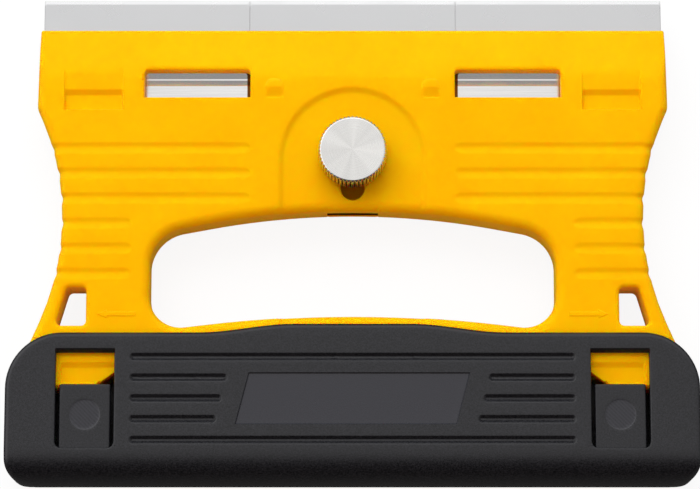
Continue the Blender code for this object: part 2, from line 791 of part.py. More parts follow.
def make_blade(name, group, cutters, material, x):
    """Double-edged blade, ground on both faces, with two holes for its pegs."""
    half = BLADE_THICKNESS / 2
    edge = BLADE_EDGE / 2
    front = -BLADE_EXPOSURE
    rear = BLADE_DEPTH - BLADE_EXPOSURE
    profile = [
        (front, -edge),
        (front, edge),
        (front + BLADE_BEVEL, half),
        (rear - BLADE_BEVEL, half),
        (rear, edge),
        (rear, -edge),
        (rear - BLADE_BEVEL, -half),
        (front + BLADE_BEVEL, -half),
    ]
    blade = prism(name, group, profile, (x - BLADE_WIDTH / 2, x + BLADE_WIDTH / 2))
    blade.data.materials.append(material)
    holes = bpy.data.collections.new(name + "_holes")
    cutters.children.link(holes)
    for place, setback in peg_places():
        if abs(place - x) < BLADE_WIDTH / 2:
            radius = PEG_RADIUS + PEG_CLEARANCE
            post("peg_hole", holes, place, setback, radius, (-CUT, CUT), PEG_STEPS)
    boolean(blade, "DIFFERENCE", holes)
    return blade


def plate_corners(tail_half, tail_end, neck_half, neck_end):
    """Stepped outline of a carriage plate: blade strip, tail and neck."""
    return both_sides(
        [
            (PLATE_HALF, PLATE_INSET, 0.0),
            (PLATE_HALF, PLATE_REAR, 0.0),
            (tail_half, PLATE_REAR, PLATE_CORNER),
            (tail_half, tail_end, PLATE_CORNER),
            (neck_half, tail_end, PLATE_CORNER),
            (neck_half, neck_end, PLATE_CORNER),
        ]
    )


def make_tray(group, cutters, material):
    """Plate under the blades, with half-sheared pegs and a hole for the nut's spigot."""
    outline = rounded(plate_corners(TAIL_WIDTH / 2, TAIL_END, NECK_WIDTH / 2, NECK_END))
    hole = circle(0.0, SCREW_SETBACK, NUT_SPIGOT_RADIUS + THREAD_CLEARANCE, ROUND_STEPS)
    tray = plate("blade_tray", group, [outline, hole], (TRAY_BASE, TRAY_TOP))
    tray.data.materials.append(material)
    pegs = bpy.data.collections.new("tray_pegs")
    cutters.children.link(pegs)
    peg_top = CLAMP_BASE + CLAMP_THICKNESS / 2
    for x, setback in peg_places():
        post("peg", pegs, x, setback, PEG_RADIUS, (TRAY_TOP - TRAY_THICKNESS / 2, peg_top), PEG_STEPS)
    boolean(tray, "UNION", pegs)
    return tray


def make_clamp(group, cutters, material):
    """Plate over the blades, with two joggled tabs that show in the handle's windows."""
    neck_end = SCREW_SETBACK + CLAMP_TAIL_MARGIN
    outline = rounded(plate_corners(CLAMP_TAIL_WIDTH / 2, TAIL_END, NECK_WIDTH / 2, neck_end))
    holes = [circle(0.0, SCREW_SETBACK, WASHER_BORE, ROUND_STEPS)]
    holes += [circle(x, setback, PEG_RADIUS + PEG_CLEARANCE, PEG_STEPS) for x, setback in peg_places()]
    clamp = plate("blade_clamp", group, [outline, *holes], (CLAMP_BASE, CLAMP_TOP))
    clamp.data.materials.append(material)
    tabs = bpy.data.collections.new("clamp_tabs")
    cutters.children.link(tabs)
    spine = [(PLATE_REAR - TAB_RAMP, 0.0), (PLATE_REAR, 0.0)]
    spine += [(PLATE_REAR + TAB_RAMP, TAB_RISE), (TAB_END, TAB_RISE)]
    profile = [(setback, CLAMP_BASE + rise) for setback, rise in spine]
    profile += [(setback, CLAMP_TOP + rise) for setback, rise in reversed(spine)]
    half = TAB_WIDTH / 2 - SLIDE_CLEARANCE
    for x in (-TAB_SPACING / 2, TAB_SPACING / 2):
        tab = prism("tab", tabs, profile, (x - half, x + half))
        trims = bpy.data.collections.new("tab_trims")
        cutters.children.link(trims)
        for side in (-1, 1):
            wedge = [
                (x + side * half, PLATE_REAR + TAB_RAMP),
                (x + side * (half + CUT), PLATE_REAR + TAB_RAMP),
                (x + side * (half + CUT), TAB_END + CUT),
                (x + side * (half - TAB_TAPER), TAB_END + CUT),
            ]
            plate("tab_trim", trims, [wedge], (-REACH, REACH))
        boolean(tab, "DIFFERENCE", trims)
    boolean(clamp, "UNION", tabs)
    return clamp


def make_nut(group, material):
    """Clinch nut: a barrel below the tray with a spigot in the tray's hole."""
    bore = SHANK_RADIUS + THREAD_CLEARANCE
    profile = [
        (bore, NUT_BASE),
        (bore, TRAY_TOP - STACK_GAP),
        (NUT_SPIGOT_RADIUS, TRAY_TOP - STACK_GAP),
        (NUT_SPIGOT_RADIUS, NUT_TOP),
        (NUT_RADIUS, NUT_TOP),
        (NUT_RADIUS, NUT_BASE),
    ]
    nut = turned("clinch_nut", group, profile, 0.0, SCREW_SETBACK, ROUND_STEPS, ring=True)
    nut.data.materials.append(material)
    return nut


# Thumb screw


def make_thumb_screw(group, cutters, material):
    """Turned knob and shank, with a straight knurl cut round the knob."""
    top = KNOB_BASE + KNOB_HEIGHT
    shoulder = KNOB_RADIUS - KNOB_CHAMFER
    profile = [
        (0.0, NUT_BASE),
        (SHANK_RADIUS, NUT_BASE),
        (SHANK_RADIUS, KNOB_BASE),
        (shoulder, KNOB_BASE),
        (KNOB_RADIUS, KNOB_BASE + KNOB_CHAMFER),
        (KNOB_RADIUS, top - KNOB_CHAMFER),
        (shoulder, top),
        (0.0, top),
    ]
    screw = turned("thumb_screw", group, profile, 0.0, SCREW_SETBACK, KNURL_TEETH)
    screw.data.materials.append(material)
    star = []
    pitch = 2 * math.pi / KNURL_TEETH
    land = KNURL_LAND / KNOB_RADIUS / 2
    tip = KNOB_RADIUS + KNURL_DEPTH / 2
    root = KNOB_RADIUS - KNURL_DEPTH
    for k in range(KNURL_TEETH):
        for angle, radius in ((-land, tip), (land, tip), (pitch / 2, root)):
            angle += k * pitch
            star.append((radius * math.cos(angle), SCREW_SETBACK + radius * math.sin(angle)))
    rim = circle(0.0, SCREW_SETBACK, KNOB_RADIUS + CUT, KNURL_TEETH)
    ring = plate("knurl", cutters, [rim, star], (KNOB_BASE - CUT, top + CUT))
    boolean(screw, "DIFFERENCE", ring)
    return screw


def make_washer(group, material):
    loops = [circle(0.0, SCREW_SETBACK, r, ROUND_STEPS) for r in (WASHER_RADIUS, WASHER_BORE)]
    washer = plate("flat_washer", group, loops, (WASHER_BASE, WASHER_BASE + WASHER_THICKNESS))
    washer.data.materials.append(material)
    return washer


# Cover


def cover_corners():
    """Cover outline: round corners and a low hump in the middle of its open edge."""
    hump = []
    for k in range(HUMP_STEPS + 1):
        t = k / HUMP_STEPS
        x = HUMP_FLAT + (HUMP_END - HUMP_FLAT) * t
        hump.append((x, COVER_FRONT + HUMP_HEIGHT * t * t * (3 - 2 * t), 0.0))
    ends = [
        (COVER_OUTER_WIDTH, COVER_SIDE, COVER_TOP_CORNER),
        (COVER_OUTER_WIDTH, COVER_END, COVER_END_CORNER),
    ]
    return both_sides(hump + ends)


def round_end(half, start, end):
    """Profile of a slab of (setback, height) points whose far end is a half circle."""
    return rounded([(start, -half, 0.0), (end, -half, half), (end, half, half), (start, half, 0.0)])


def make_cover(group, cutters, material):
    """Slip-on guard with a round end and two windows in its front face, each with a catch tongue."""
    outline = [rounded(cover_corners())]
    cover = plate("blade_cover", group, outline, (-COVER_HALF, COVER_HALF), COVER_EDGE_FILLET, 1)
    cover.data.materials.append(material)
    start = COVER_FRONT - CUT
    wide = COVER_OUTER_WIDTH + CUT
    slab = prism("cover_slab", cutters, round_end(COVER_HALF, start, COVER_END), (-wide, wide))
    boolean(cover, "INTERSECT", slab)
    cuts = bpy.data.collections.new("cover_cuts")
    tongues = bpy.data.collections.new("cover_tongues")
    cutters.children.link(cuts)
    cutters.children.link(tongues)
    cavity = round_end(COVER_INNER, start - CUT, COVER_END - COVER_WALL)
    prism("cavity", cuts, cavity, (-COVER_INNER_WIDTH, COVER_INNER_WIDTH))
    for side in (-1, 1):
        cut_cover_face(cuts, side)
    for x in (-TONGUE_X, TONGUE_X):
        add_tongue(cuts, tongues, x)
    boolean(cover, "DIFFERENCE", cuts)
    boolean(cover, "UNION", tongues)
    return cover


def cut_cover_face(group, side):
    """Finger grooves, broken in the middle of the front face by a plain sunk panel."""
    half = TONGUE_X - TONGUE_WIDTH / 2 - TONGUE_GAP - RIB_MARGIN
    height = side * (COVER_HALF + RIB_RADIUS - RIB_DEPTH)
    for k in range(RIB_COUNT):
        setback = COVER_SIDE + RIB_SETBACK + k * RIB_PITCH
        inner = side > 0 and 0 < k < RIB_COUNT - 1
        lean = (k - (RIB_COUNT - 1) / 2) * PANEL_SLANT * RIB_PITCH / PANEL_HEIGHT
        left = -PANEL_WIDTH / 2 - PANEL_MARGIN - lean
        right = PANEL_WIDTH / 2 + PANEL_MARGIN - lean
        runs = [(-half, left), (right, half)] if inner else [(-half, half)]
        for first, last in runs:
            tube("rib", group, [(first, setback, height), (last, setback, height)], RIB_RADIUS)
    if side > 0:
        middle = COVER_SIDE + RIB_SETBACK + (RIB_COUNT - 1) / 2 * RIB_PITCH
        top = middle - PANEL_HEIGHT / 2
        bottom = middle + PANEL_HEIGHT / 2
        lean = PANEL_SLANT / 2
        wide = PANEL_WIDTH / 2
        loop = [(lean - wide, top), (lean + wide, top), (wide - lean, bottom), (-wide - lean, bottom)]
        plate("panel", group, [loop], (COVER_HALF - PANEL_DEPTH, COVER_HALF + CUT))


def add_tongue(cuts, tongues, x):
    """Window in the front face and the spring tongue in it, joined to the cover at its far end."""
    half = TONGUE_WIDTH / 2
    room = half + TONGUE_GAP
    first = COVER_SIDE + TONGUE_WINDOW_LEAD
    last = first + TONGUE_WINDOW_LENGTH
    base = TENON_HALF + TONGUE_CLEARANCE
    span = (TONGUE_TIP_SETBACK, last + TONGUE_ROOT)
    box("window", cuts, (x - room, x + room), (first, last), (BODY_HALF - CUT, REACH))
    box("tongue", tongues, (x - half, x + half), span, (base, base + TONGUE_THICKNESS))
    bead = (TONGUE_TIP_SETBACK + BEAD_INSET, TONGUE_TIP_SETBACK + BEAD_INSET + BEAD_LENGTH)
    bead_half = half - BEAD_INSET
    box("bead", tongues, (x - bead_half, x + bead_half), bead, (base - BEAD_HEIGHT, base + TONGUE_THICKNESS / 2))


# Assembly


def pivot(name, group, setback, parent=None):
    """Empty on a joint's axis that carries a moving body."""
    empty = bpy.data.objects.new(name, None)
    group.objects.link(empty)
    empty.location = (0.0, ahead(setback), MIDDLE)
    bpy.context.view_layer.update()
    if parent:
        carry(parent, [empty])
    return empty


def carry(parent, children):
    """Parents objects without moving them."""
    bpy.context.view_layer.update()
    for child in children:
        child.parent = parent
        child.matrix_parent_inverse = parent.matrix_world.inverted()


def clear_scene():
    for obj in list(bpy.data.objects):
        bpy.data.objects.remove(obj)
    for group in list(bpy.data.collections):
        bpy.data.collections.remove(group)


def main():
    clear_scene()
    parts = new_collection("razor_scraper")
    cutters = new_collection("cutters", hidden=True)
    yellow = new_material("yellow_plastic", (0.95, 0.5, 0.003), 0.45)
    black = new_material("black_plastic", (0.03, 0.03, 0.032), 0.5)
    steel = new_material("blade_steel", (0.62, 0.62, 0.62), 0.3, 1.0)
    sheet = new_material("stainless_sheet", (0.7, 0.69, 0.67), 0.35, 1.0)
    bright = new_material("turned_steel", (0.75, 0.74, 0.72), 0.25, 1.0)
    zinc = new_material("zinc_plate", (0.6, 0.6, 0.58), 0.4, 1.0)

    handle = pivot("handle", parts, SCREW_SETBACK)
    fixed = [
        make_shell("front_shell", parts, cutters, yellow, 1),
        make_shell("back_shell", parts, cutters, yellow, -1),
    ]
    for number, (x, setback) in enumerate(screw_places(), start=1):
        fixed.append(make_shell_screw(f"shell_screw_{number}", parts, zinc, x, setback))
    carry(handle, fixed)

    carriage = pivot("carriage", parts, SCREW_SETBACK, handle)
    sliding = [
        make_tray(parts, cutters, sheet),
        make_clamp(parts, cutters, sheet),
        make_nut(parts, zinc),
    ]
    for name, x in zip(("blade_left", "blade_centre", "blade_right"), blade_places()):
        sliding.append(make_blade(name, parts, cutters, steel, x))
    carry(carriage, sliding)

    screw_axis = pivot("screw_axis", parts, SCREW_SETBACK, carriage)
    carry(screw_axis, [make_thumb_screw(parts, cutters, bright), make_washer(parts, zinc)])

    cover_slide = pivot("cover_slide", parts, COVER_FRONT, handle)
    carry(cover_slide, [make_cover(parts, cutters, black)])

    for helper in cutters.all_objects:
        helper.hide_render = True
        helper.display_type = "WIRE"
    switch_booleans_on()


main()
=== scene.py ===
"""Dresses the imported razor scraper: fine moulded surfaces, ground and turned metal, and a plain studio.

The moulded pieces are heights over a plan. A plan point is (x, setback), where a setback is the distance
behind the nose edge, and a height is measured from the middle plane of the tool. Lengths are in metres.
"""

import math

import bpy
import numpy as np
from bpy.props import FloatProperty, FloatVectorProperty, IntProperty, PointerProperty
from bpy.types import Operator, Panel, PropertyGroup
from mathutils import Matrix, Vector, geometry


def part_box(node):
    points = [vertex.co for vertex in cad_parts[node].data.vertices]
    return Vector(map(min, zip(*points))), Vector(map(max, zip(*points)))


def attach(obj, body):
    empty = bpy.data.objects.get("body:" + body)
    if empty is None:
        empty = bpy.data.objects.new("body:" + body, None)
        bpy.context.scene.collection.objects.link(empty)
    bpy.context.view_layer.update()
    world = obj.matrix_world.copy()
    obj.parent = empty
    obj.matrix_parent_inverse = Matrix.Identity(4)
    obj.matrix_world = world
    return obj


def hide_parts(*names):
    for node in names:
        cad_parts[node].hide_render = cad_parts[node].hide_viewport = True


bl_info = {
    "name": "Razor Scraper Dressing",
    "version": (1, 0, 0),
    "blender": (4, 5, 0),
    "location": "3D View > Sidebar > Scraper",
    "description": "Builds the moulded shells, cover, metalwork and studio of a wide razor scraper",
    "category": "Object",
}

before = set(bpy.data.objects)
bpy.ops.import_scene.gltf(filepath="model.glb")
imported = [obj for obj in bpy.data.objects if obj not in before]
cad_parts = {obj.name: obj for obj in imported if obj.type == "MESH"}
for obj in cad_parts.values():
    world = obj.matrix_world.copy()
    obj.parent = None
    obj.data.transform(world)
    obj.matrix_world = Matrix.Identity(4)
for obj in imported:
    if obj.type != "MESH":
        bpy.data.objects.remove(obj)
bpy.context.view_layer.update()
MM = 0.001

# Places read from the frame

SHELL_LOW, SHELL_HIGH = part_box("front_shell")
BLADE_LOW, BLADE_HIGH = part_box("blade_centre")
CLAMP_LOW, CLAMP_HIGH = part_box("blade_clamp")
COVER_LOW, COVER_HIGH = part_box("blade_cover")
KNOB_LOW, KNOB_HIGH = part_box("thumb_screw")
WASHER_LOW, WASHER_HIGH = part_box("flat_washer")
NOSE = SHELL_HIGH.y
MIDDLE = (BLADE_LOW.z + BLADE_HIGH.z) / 2
LUG_HALF = SHELL_HIGH.x
LUG_END = NOSE - SHELL_LOW.y
PARTING_HALF = SHELL_LOW.z - MIDDLE
COVER_WIDE = COVER_HIGH.x
COVER_HALF = COVER_HIGH.z - MIDDLE
COVER_FRONT = NOSE - COVER_HIGH.y
COVER_END = NOSE - COVER_LOW.y
SCREW_SETBACK = NOSE - (KNOB_LOW.y + KNOB_HIGH.y) / 2
KNOB_RADIUS = (KNOB_HIGH.x - KNOB_LOW.x) / 2
CLAMP_WIDE = CLAMP_HIGH.x
CLAMP_BASE = CLAMP_LOW.z - MIDDLE
SHELL_SCREWS = sorted(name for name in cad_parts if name.startswith("shell_screw"))

# Fineness of the meshes

FINE_ARC = math.radians(1.0)
ARC = math.radians(5.0)
COARSE_ARC = math.radians(15.0)
FINE_SPACING = 0.25 * MM
RIM_SPACING = 0.7 * MM
OUTLINE_SPACING = 0.9 * MM
ROW_SPACING = 1.2 * MM
LOOP_SPACING = 1.5 * MM
MERGE_MILLIMETRES = 1e-5
WELD_DISTANCE = MM / 2000
PAIRS_AT_ONCE = 1500000

# Small distances: across steep walls, and within which a spot counts as lying on an edge

POCKET_WALL = (-0.03 * MM, 0.03 * MM)
ARROW_WALL = 0.14 * MM
TOUCH = MM / 100

# Share of a grip groove's depth that shows in the handle's outline

SCALLOP = 0.7

# Light of the stage

# The sky's change along each axis, as a share of its level
SKY_SLOPES = {"Z": 0.375, "Y": 0.7, "X": -0.25}
# What metal mirrors is a product of ramps: axis, first level, last level, first place, last place
MIRROR_RAMPS = (
    ("Y", 0.05, 1.08, -0.68, -0.34),
    ("Z", 0.25, 1.0, 0.0, 0.5),
    ("Y", 1.0, 2.0, 0.3, 0.8),
    ("X", 2.2, 1.0, -0.8, -0.3),
)
# One more such ramp, in the distance from X = 0
MIRROR_MIDDLE = (1.0, 0.8, 0.02, 0.13)


def length(name, description, millimetres):
    """Length property with its default in millimetres."""
    return FloatProperty(
        name=name, description=description, default=millimetres * MM, unit="LENGTH", precision=5
    )


def tint(name, description, colour):
    """Colour property, in linear values."""
    return FloatVectorProperty(
        name=name, description=description, default=colour, size=3, min=0.0, max=1.0, subtype="COLOR"
    )


# Sizes and colours that a user would change


class HandleSizes(PropertyGroup):
    """Sizes of the two moulded handle shells."""

    body_half: length("Body half", "Half of the handle's thickness", 7.0)
    edge_fillet: length("Edge fillet", "Radius of the outer edges and of the hand opening's rim", 2.4)
    nose_half: length("Nose half", "Half of the nose's width at its front edge", 76.6)
    nose_edge: length("Nose edge", "Half of the nose's thickness at its front edge", 3.4)
    nose_slope: length("Nose slope", "Setback where the sloped face meets the flat face", 12.7)
    nose_round: length("Nose round", "Radius of the nose's thin edges", 0.5)
    nose_corner: length("Nose corner", "Radius of the nose's two front corners", 0.7)
    shoulder_half: length("Shoulder half", "Half width at the shoulders", 77.0)
    shoulder_setback: length("Shoulder setback", "Setback of the shoulders", 20.2)
    shoulder_round: length("Shoulder round", "Radius of the shoulders", 4.0)
    waist_half: length("Waist half", "Half width at the waist", 70.6)
    waist_setback: length("Waist setback", "Setback where the waist starts", 34.9)
    waist_round: length("Waist round", "Radius between shoulder and waist", 60.0)
    flare_setback: length("Flare setback", "Setback where the legs start to flare", 61.2)
    flare_round: length("Flare round", "Radius between waist and flare", 63.0)
    lug_start: length("Lug start", "Setback where the lugs stop flaring", 85.2)
    lug_width: length("Lug width", "Width of each rear lug", 18.4)
    lug_slant: length("Lug slant", "Width of the slant between lug and grip bar", 6.5)
    lug_round: length("Lug round", "Radius where the lugs stop flaring", 4.0)
    lug_corner: length("Lug corner", "Radius of the lugs' rear corners", 3.0)
    bar_rear: length("Bar rear", "Setback of the grip bar's rear side", 84.6)
    tenon_setback: length("Tenon setback", "Setback where the thinner rear end starts", 77.2)
    tenon_step: length("Tenon step", "Step down to the thinner rear end", 0.6)
    opening_half: length("Opening half", "Half width of the hand opening", 49.1)
    opening_round: length("Opening round", "Radius of the hand opening's front corners", 9.6)
    opening_rear: length("Opening rear round", "Radius of the hand opening's rear corners", 7.6)
    opening_back: length("Opening back round", "Radius of the hand opening's rim on the back shell", 5.0)
    rim_setback: length("Rim setback", "Setback of the hand opening's front side at the middle", 45.6)
    rim_drop: length("Rim drop", "Fall of the front side's chords towards the corners", 9.2)
    rim_round: length("Rim round", "Radius of the front side", 190.0)
    bar_setback: length("Bar setback", "Setback of the grip bar at the middle", 71.5)
    bar_drop: length("Bar drop", "Fall of the grip bar's chords towards the corners", 6.0)
    bar_round: length("Bar round", "Radius of the grip bar's front side", 300.0)
    window_middle: length("Window middle", "Distance of a window's middle from the tool's middle", 37.9)
    window_half: length("Window half", "Half width of a window", 12.95)
    window_front: length("Window front", "Setback of a window's front side", 10.6)
    window_rear: length("Window rear", "Setback of a window's rear side", 17.7)
    window_round: length("Window round", "Radius of a window's front corners", 1.0)
    window_edge: length("Window edge", "Radius of the edge along a window's front side", 1.1)
    window_side: length("Window side", "Radius of the edges along a window's ends", 0.5)
    slot_half: length("Slot half", "Half width of the thumb screw's slot", 2.9)
    slot_travel: length("Slot travel", "Length of the straight part of the thumb screw's slot", 7.95)
    rim_soft: length("Rim softness", "Radius of the other edges of windows and slots", 0.3)
    arch_radius: length("Arch radius", "Radius of the arched recess round the thumb screw", 17.9)
    arch_top: length("Arch top", "Setback of the arch's top", 15.2)
    arch_depth: length("Arch depth", "Depth of the arched recess", 1.0)
    arch_draft: length("Arch draft", "Width of the arch's sloped wall", 1.0)
    arch_soft: length("Arch softness", "Length over which the arch's bends are rounded", 0.4)
    catch_middle: length("Catch middle", "Distance of a catch recess from the tool's middle", 63.2)
    catch_half: length("Catch half", "Half width of a catch recess", 7.2)
    catch_front: length("Catch front", "Setback of the deep part of a nose catch", 16.3)
    catch_run: length("Catch run", "Length of the deep part of a nose catch", 4.5)
    catch_shallow: length("Catch shallow", "Depth of the lead-in of a catch", 0.5)
    catch_deep: length("Catch deep", "Depth of a catch", 1.5)
    catch_wall: length("Catch wall", "Width of the sloped front wall of a catch", 1.3)
    tenon_catch: length("Tenon catch", "Setback of the front end of a catch under the cover", 83.5)
    tenon_run: length("Tenon catch run", "Length of a catch under the cover", 4.8)
    nub_middle: length("Nub middle", "Distance of a nub from the tool's middle", 19.1)
    nub_width: length("Nub width", "Width of a nub", 4.4)
    nub_ridge: length("Nub ridge", "Setback of a nub's ridge", 15.15)
    nub_front: length("Nub front", "Length of a nub's round front", 2.2)
    nub_rear: length("Nub rear", "Length of a nub's rear ramp", 2.75)
    nub_height: length("Nub height", "Height of a nub", 0.55)
    nub_sink: length("Nub sink", "Depth of the ramp's rear end under the face", 0.5)
    hang_top: length("Hanging slot top", "Setback of a hanging slot's front side", 64.6)
    hang_bottom: length("Hanging slot bottom", "Setback of a hanging slot's rear side", 74.0)
    hang_strip: length("Hanging slot strip", "Width of the strip outside a hanging slot at its front", 3.8)
    hang_strip_rear: length("Hanging slot rear strip", "Width of that strip at the slot's rear side", 4.3)
    hang_width: length("Hanging slot width", "Width of a hanging slot at its front side", 4.7)
    hang_corner: length("Hanging slot corner", "Radius of a hanging slot's corners", 1.2)
    hang_fillet: length("Hanging slot fillet", "Radius of a hanging slot's front edges", 1.1)
    hang_back: length("Hanging slot back", "Radius of a hanging slot's back edges", 4.0)
    groove_setback: length("Groove setback", "Setback of the first grip groove", 30.45)
    groove_pitch: length("Groove pitch", "Distance between grip grooves", 6.2)
    groove_width: length("Groove width", "Width of a grip groove", 3.4)
    groove_depth: length("Groove depth", "Depth of a grip groove", 0.4)
    groove_lean: FloatProperty(
        name="Groove lean", description="Share of a groove in front of its bottom", default=0.4
    )
    groove_long_end: length("Long groove end", "Where the long grooves end on the face", 24.8)
    groove_short_end: length("Short groove end", "Where the short grooves end on the face", 53.5)
    groove_count: IntProperty(name="Grooves", description="Grip grooves on each side", default=6, min=1)
    groove_long: IntProperty(name="Long grooves", description="How many of them are long", default=3, min=0)
    room_front: length("Pocket height", "Height of the blade pocket in the front shell", 2.1)
    room_back: length("Pocket depth", "Depth of the blade pocket in the back shell", 1.7)
    room_rear: length("Pocket rear", "Setback of the pocket's rear wall", 21.4)
    tab_room: length("Tab room", "Half width of the pocket's part for the clamp's tabs", 52.1)
    tab_rear: length("Tab rear", "Setback of that part's rear wall", 24.9)
    tail_half: length("Tail half", "Half width of the pocket behind the blades", 31.2)
    tail_rear: length("Tail rear", "Setback of that pocket's rear wall", 38.5)
    neck_half: length("Neck half", "Half width of the pocket's narrow end", 6.2)
    room_round: length("Pocket round", "Radius of the pocket's outward corners", 2.0)
    nut_room: length("Nut room", "Half width of the room for the nut", 3.9)
    nut_travel: length("Nut travel", "Length of the straight part of that room", 8.3)
    nut_depth: length("Nut depth", "Depth of the room for the nut", 4.4)
    boss_hole: length("Boss hole", "Radius of a shell screw's hole in the back shell", 1.55)
    boss_pilot: length("Boss pilot", "Radius of a shell screw's hole in the front shell", 1.35)
    boss_bite: length("Boss bite", "Depth of a shell screw's hole in the front shell", 4.8)
    head_room: length("Head room", "Radius of the recess for a screw head", 3.05)
    head_sink: length("Head sink", "Depth of the recess for a screw head", 2.4)
    arrow_tip: length("Arrow tip", "Distance of the arrow's tip from the tool's middle", 61.6)
    arrow_tail: length("Arrow tail", "Distance of the arrow's tail from the tool's middle", 52.2)
    arrow_setback: length("Arrow setback", "Setback of the raised arrow on each leg", 71.3)
    arrow_half: length("Arrow half", "Half width of the arrow's head", 1.1)
    arrow_height: length("Arrow height", "Height of the raised arrow", 0.18)


class CoverSizes(PropertyGroup):
    """Sizes of the slip-on blade cover."""

    wall: length("Wall", "Thickness of the faces", 1.4)
    side_wall: length("Side wall", "Thickness of the side walls", 1.7)
    hump_height: length("Hump height", "Height of the hump on the open edge", 2.1)
    hump_flat: length("Hump flat", "Half width of the hump's flat top", 14.0)
    hump_end: length("Hump end", "Half width of the hump at its foot", 37.0)
    top_corner: length("Top corner", "Radius of the corners of the open edge", 13.5)
    end_corner: length("End corner", "Radius of the corners of the closed end", 6.0)
    edge_fillet: length("Edge fillet", "Radius of the outer edges", 1.3)
    rib_first: length("First rib", "Distance of the first groove behind the open edge's sides", 6.1)
    rib_pitch: length("Rib pitch", "Distance between the finger grooves", 5.0)
    rib_half: length("Rib half", "Half width of a finger groove", 0.98)
    rib_wall: length("Rib wall", "Width of the sloped walls of a finger groove", 0.8)
    rib_depth: length("Rib depth", "Depth of a finger groove", 0.75)
    rib_end: length("Rib end", "Distance of the grooves' ends from the middle", 53.5)
    rib_count: IntProperty(name="Ribs", description="Finger grooves on each face", default=5, min=1)
    panel_half: length("Panel half", "Half of the sunk panel's width", 26.5)
    panel_height: length("Panel height", "Height of the sunk panel", 12.4)
    panel_slant: length("Panel slant", "Sideways lean of the panel's ends", 3.2)
    panel_depth: length("Panel depth", "Depth of the sunk panel", 0.4)
    panel_margin: length("Panel margin", "Gap between panel and finger grooves", 4.7)
    tongue_middle: length("Tongue middle", "Distance of a catch tongue from the middle", 64.1)
    tongue_half: length("Tongue half", "Half width of a tongue", 6.15)
    tongue_gap: length("Tongue gap", "Gap beside a tongue", 0.85)
    tongue_tip: length("Tongue tip", "Distance of a tongue's tip behind the open edge's sides", 12.5)
    tongue_base: length("Tongue base", "Height of a tongue's underside", 6.7)
    tongue_thick: length("Tongue thickness", "Thickness of a tongue", 1.3)
    window_lead: length("Window lead", "Distance of a tongue's window behind the open edge's sides", 4.0)
    window_lip: length("Window lip", "Width of the sloped lip along the window's front side", 0.9)
    window_fall: length("Window fall", "Fall of that lip", 1.3)
    window_edge: length("Window edge", "Radius of the window's other edges", 0.4)
    window_run: length("Window run", "Length of a tongue's window", 24.0)
    window_round: length("Window round", "Radius of the window's rear corners", 1.6)
    mark_radius: length("Mark radius", "Radius of the round mark on a tongue", 3.7)
    mark_setback: length("Mark setback", "Setback of the round mark", 95.75)
    mark_depth: length("Mark depth", "Depth of the round mark", 0.15)


class MetalSizes(PropertyGroup):
    """Sizes of the clamp plate, thumb screw and shell screws."""

    clamp_thick: length("Clamp thickness", "Thickness of the clamp plate", 1.0)
    clamp_rear: length("Clamp rear", "Setback of the plate's rear edge", 12.9)
    clamp_inset: length("Clamp inset", "Setback of the plate's front edge", 0.3)
    bend_front: length("Bend front", "Setback of the bent strip's front edge", 10.3)
    bend_top: length("Bend top", "Height of the plate at the bent strip's front edge", 2.0)
    bend_run: length("Bend run", "Length of each of the two ramps of the bent strip", 1.6)
    bend_ledge: length("Bend ledge", "Length of the flat ledge between the ramps", 0.25)
    tab_middle: length("Tab middle", "Distance of a tab's middle from the tool's middle", 38.4)
    tab_half: length("Tab half", "Half width of a tab", 12.5)
    tab_top: length("Tab top", "Height of the tabs", 0.66)
    tab_end: length("Tab end", "Setback of a tab's rear edge", 16.4)
    tab_margin: length("Tab margin", "Width of the margin beside a tab", 0.9)
    tail_half: length("Tail half", "Half width of the clamp's tail", 14.0)
    tail_end: length("Tail end", "Setback of the clamp's tail", 30.0)
    neck_half: length("Neck half", "Half width of the clamp's neck", 6.0)
    neck_end: length("Neck end", "Setback of the clamp's neck", 36.6)
    plate_round: length("Plate round", "Radius of the plate's corners", 2.0)
    peg_hole: length("Peg hole", "Radius of the holes for the tray's pegs", 1.15)
    peg_spacing: length("Peg spacing", "Distance between a blade's two pegs", 30.0)
    blade_pitch: length("Blade pitch", "Distance between blades", 50.8)
    blade_gap: length("Blade gap", "Gap between blades", 0.04)
    blade_bevel: length("Blade bevel", "Width of a blade's ground bevel", 1.0)
    blade_chamfer: length("Blade chamfer", "Chamfer of a blade's ends", 0.1)
    blade_land: length("Blade land", "Half thickness of a blade at its edges", 0.03)
    shank_radius: length("Shank radius", "Radius of the thumb screw's thread", 2.45)
    thread_pitch: length("Thread pitch", "Pitch of the thumb screw's thread", 0.8)
    thread_depth: length("Thread depth", "Depth of the thread", 0.42)
    knob_height: length("Knob height", "Height of the knob", 7.0)
    knob_chamfer: length("Knob chamfer", "Chamfer of the knob's rims", 0.6)
    knurl_depth: length("Knurl depth", "Depth of the knurl", 0.4)
    knurl_teeth: IntProperty(name="Knurl teeth", description="Teeth round the knob", default=52, min=8)
    washer_bore: length("Washer bore", "Radius of the washer's hole", 2.55)
    head_radius: length("Screw head radius", "Radius of a shell screw's head", 2.75)
    head_height: length("Screw head height", "Height of a shell screw's head", 2.0)
    screw_radius: length("Screw radius", "Radius of a shell screw's thread", 1.25)
    screw_pitch: length("Screw pitch", "Pitch of a shell screw's thread", 1.2)
    recess_half: length("Recess half", "Half width of the cross recess's arms", 0.42)
    recess_reach: length("Recess reach", "Reach of the cross recess's arms", 1.55)
    recess_depth: length("Recess depth", "Depth of the cross recess", 1.1)


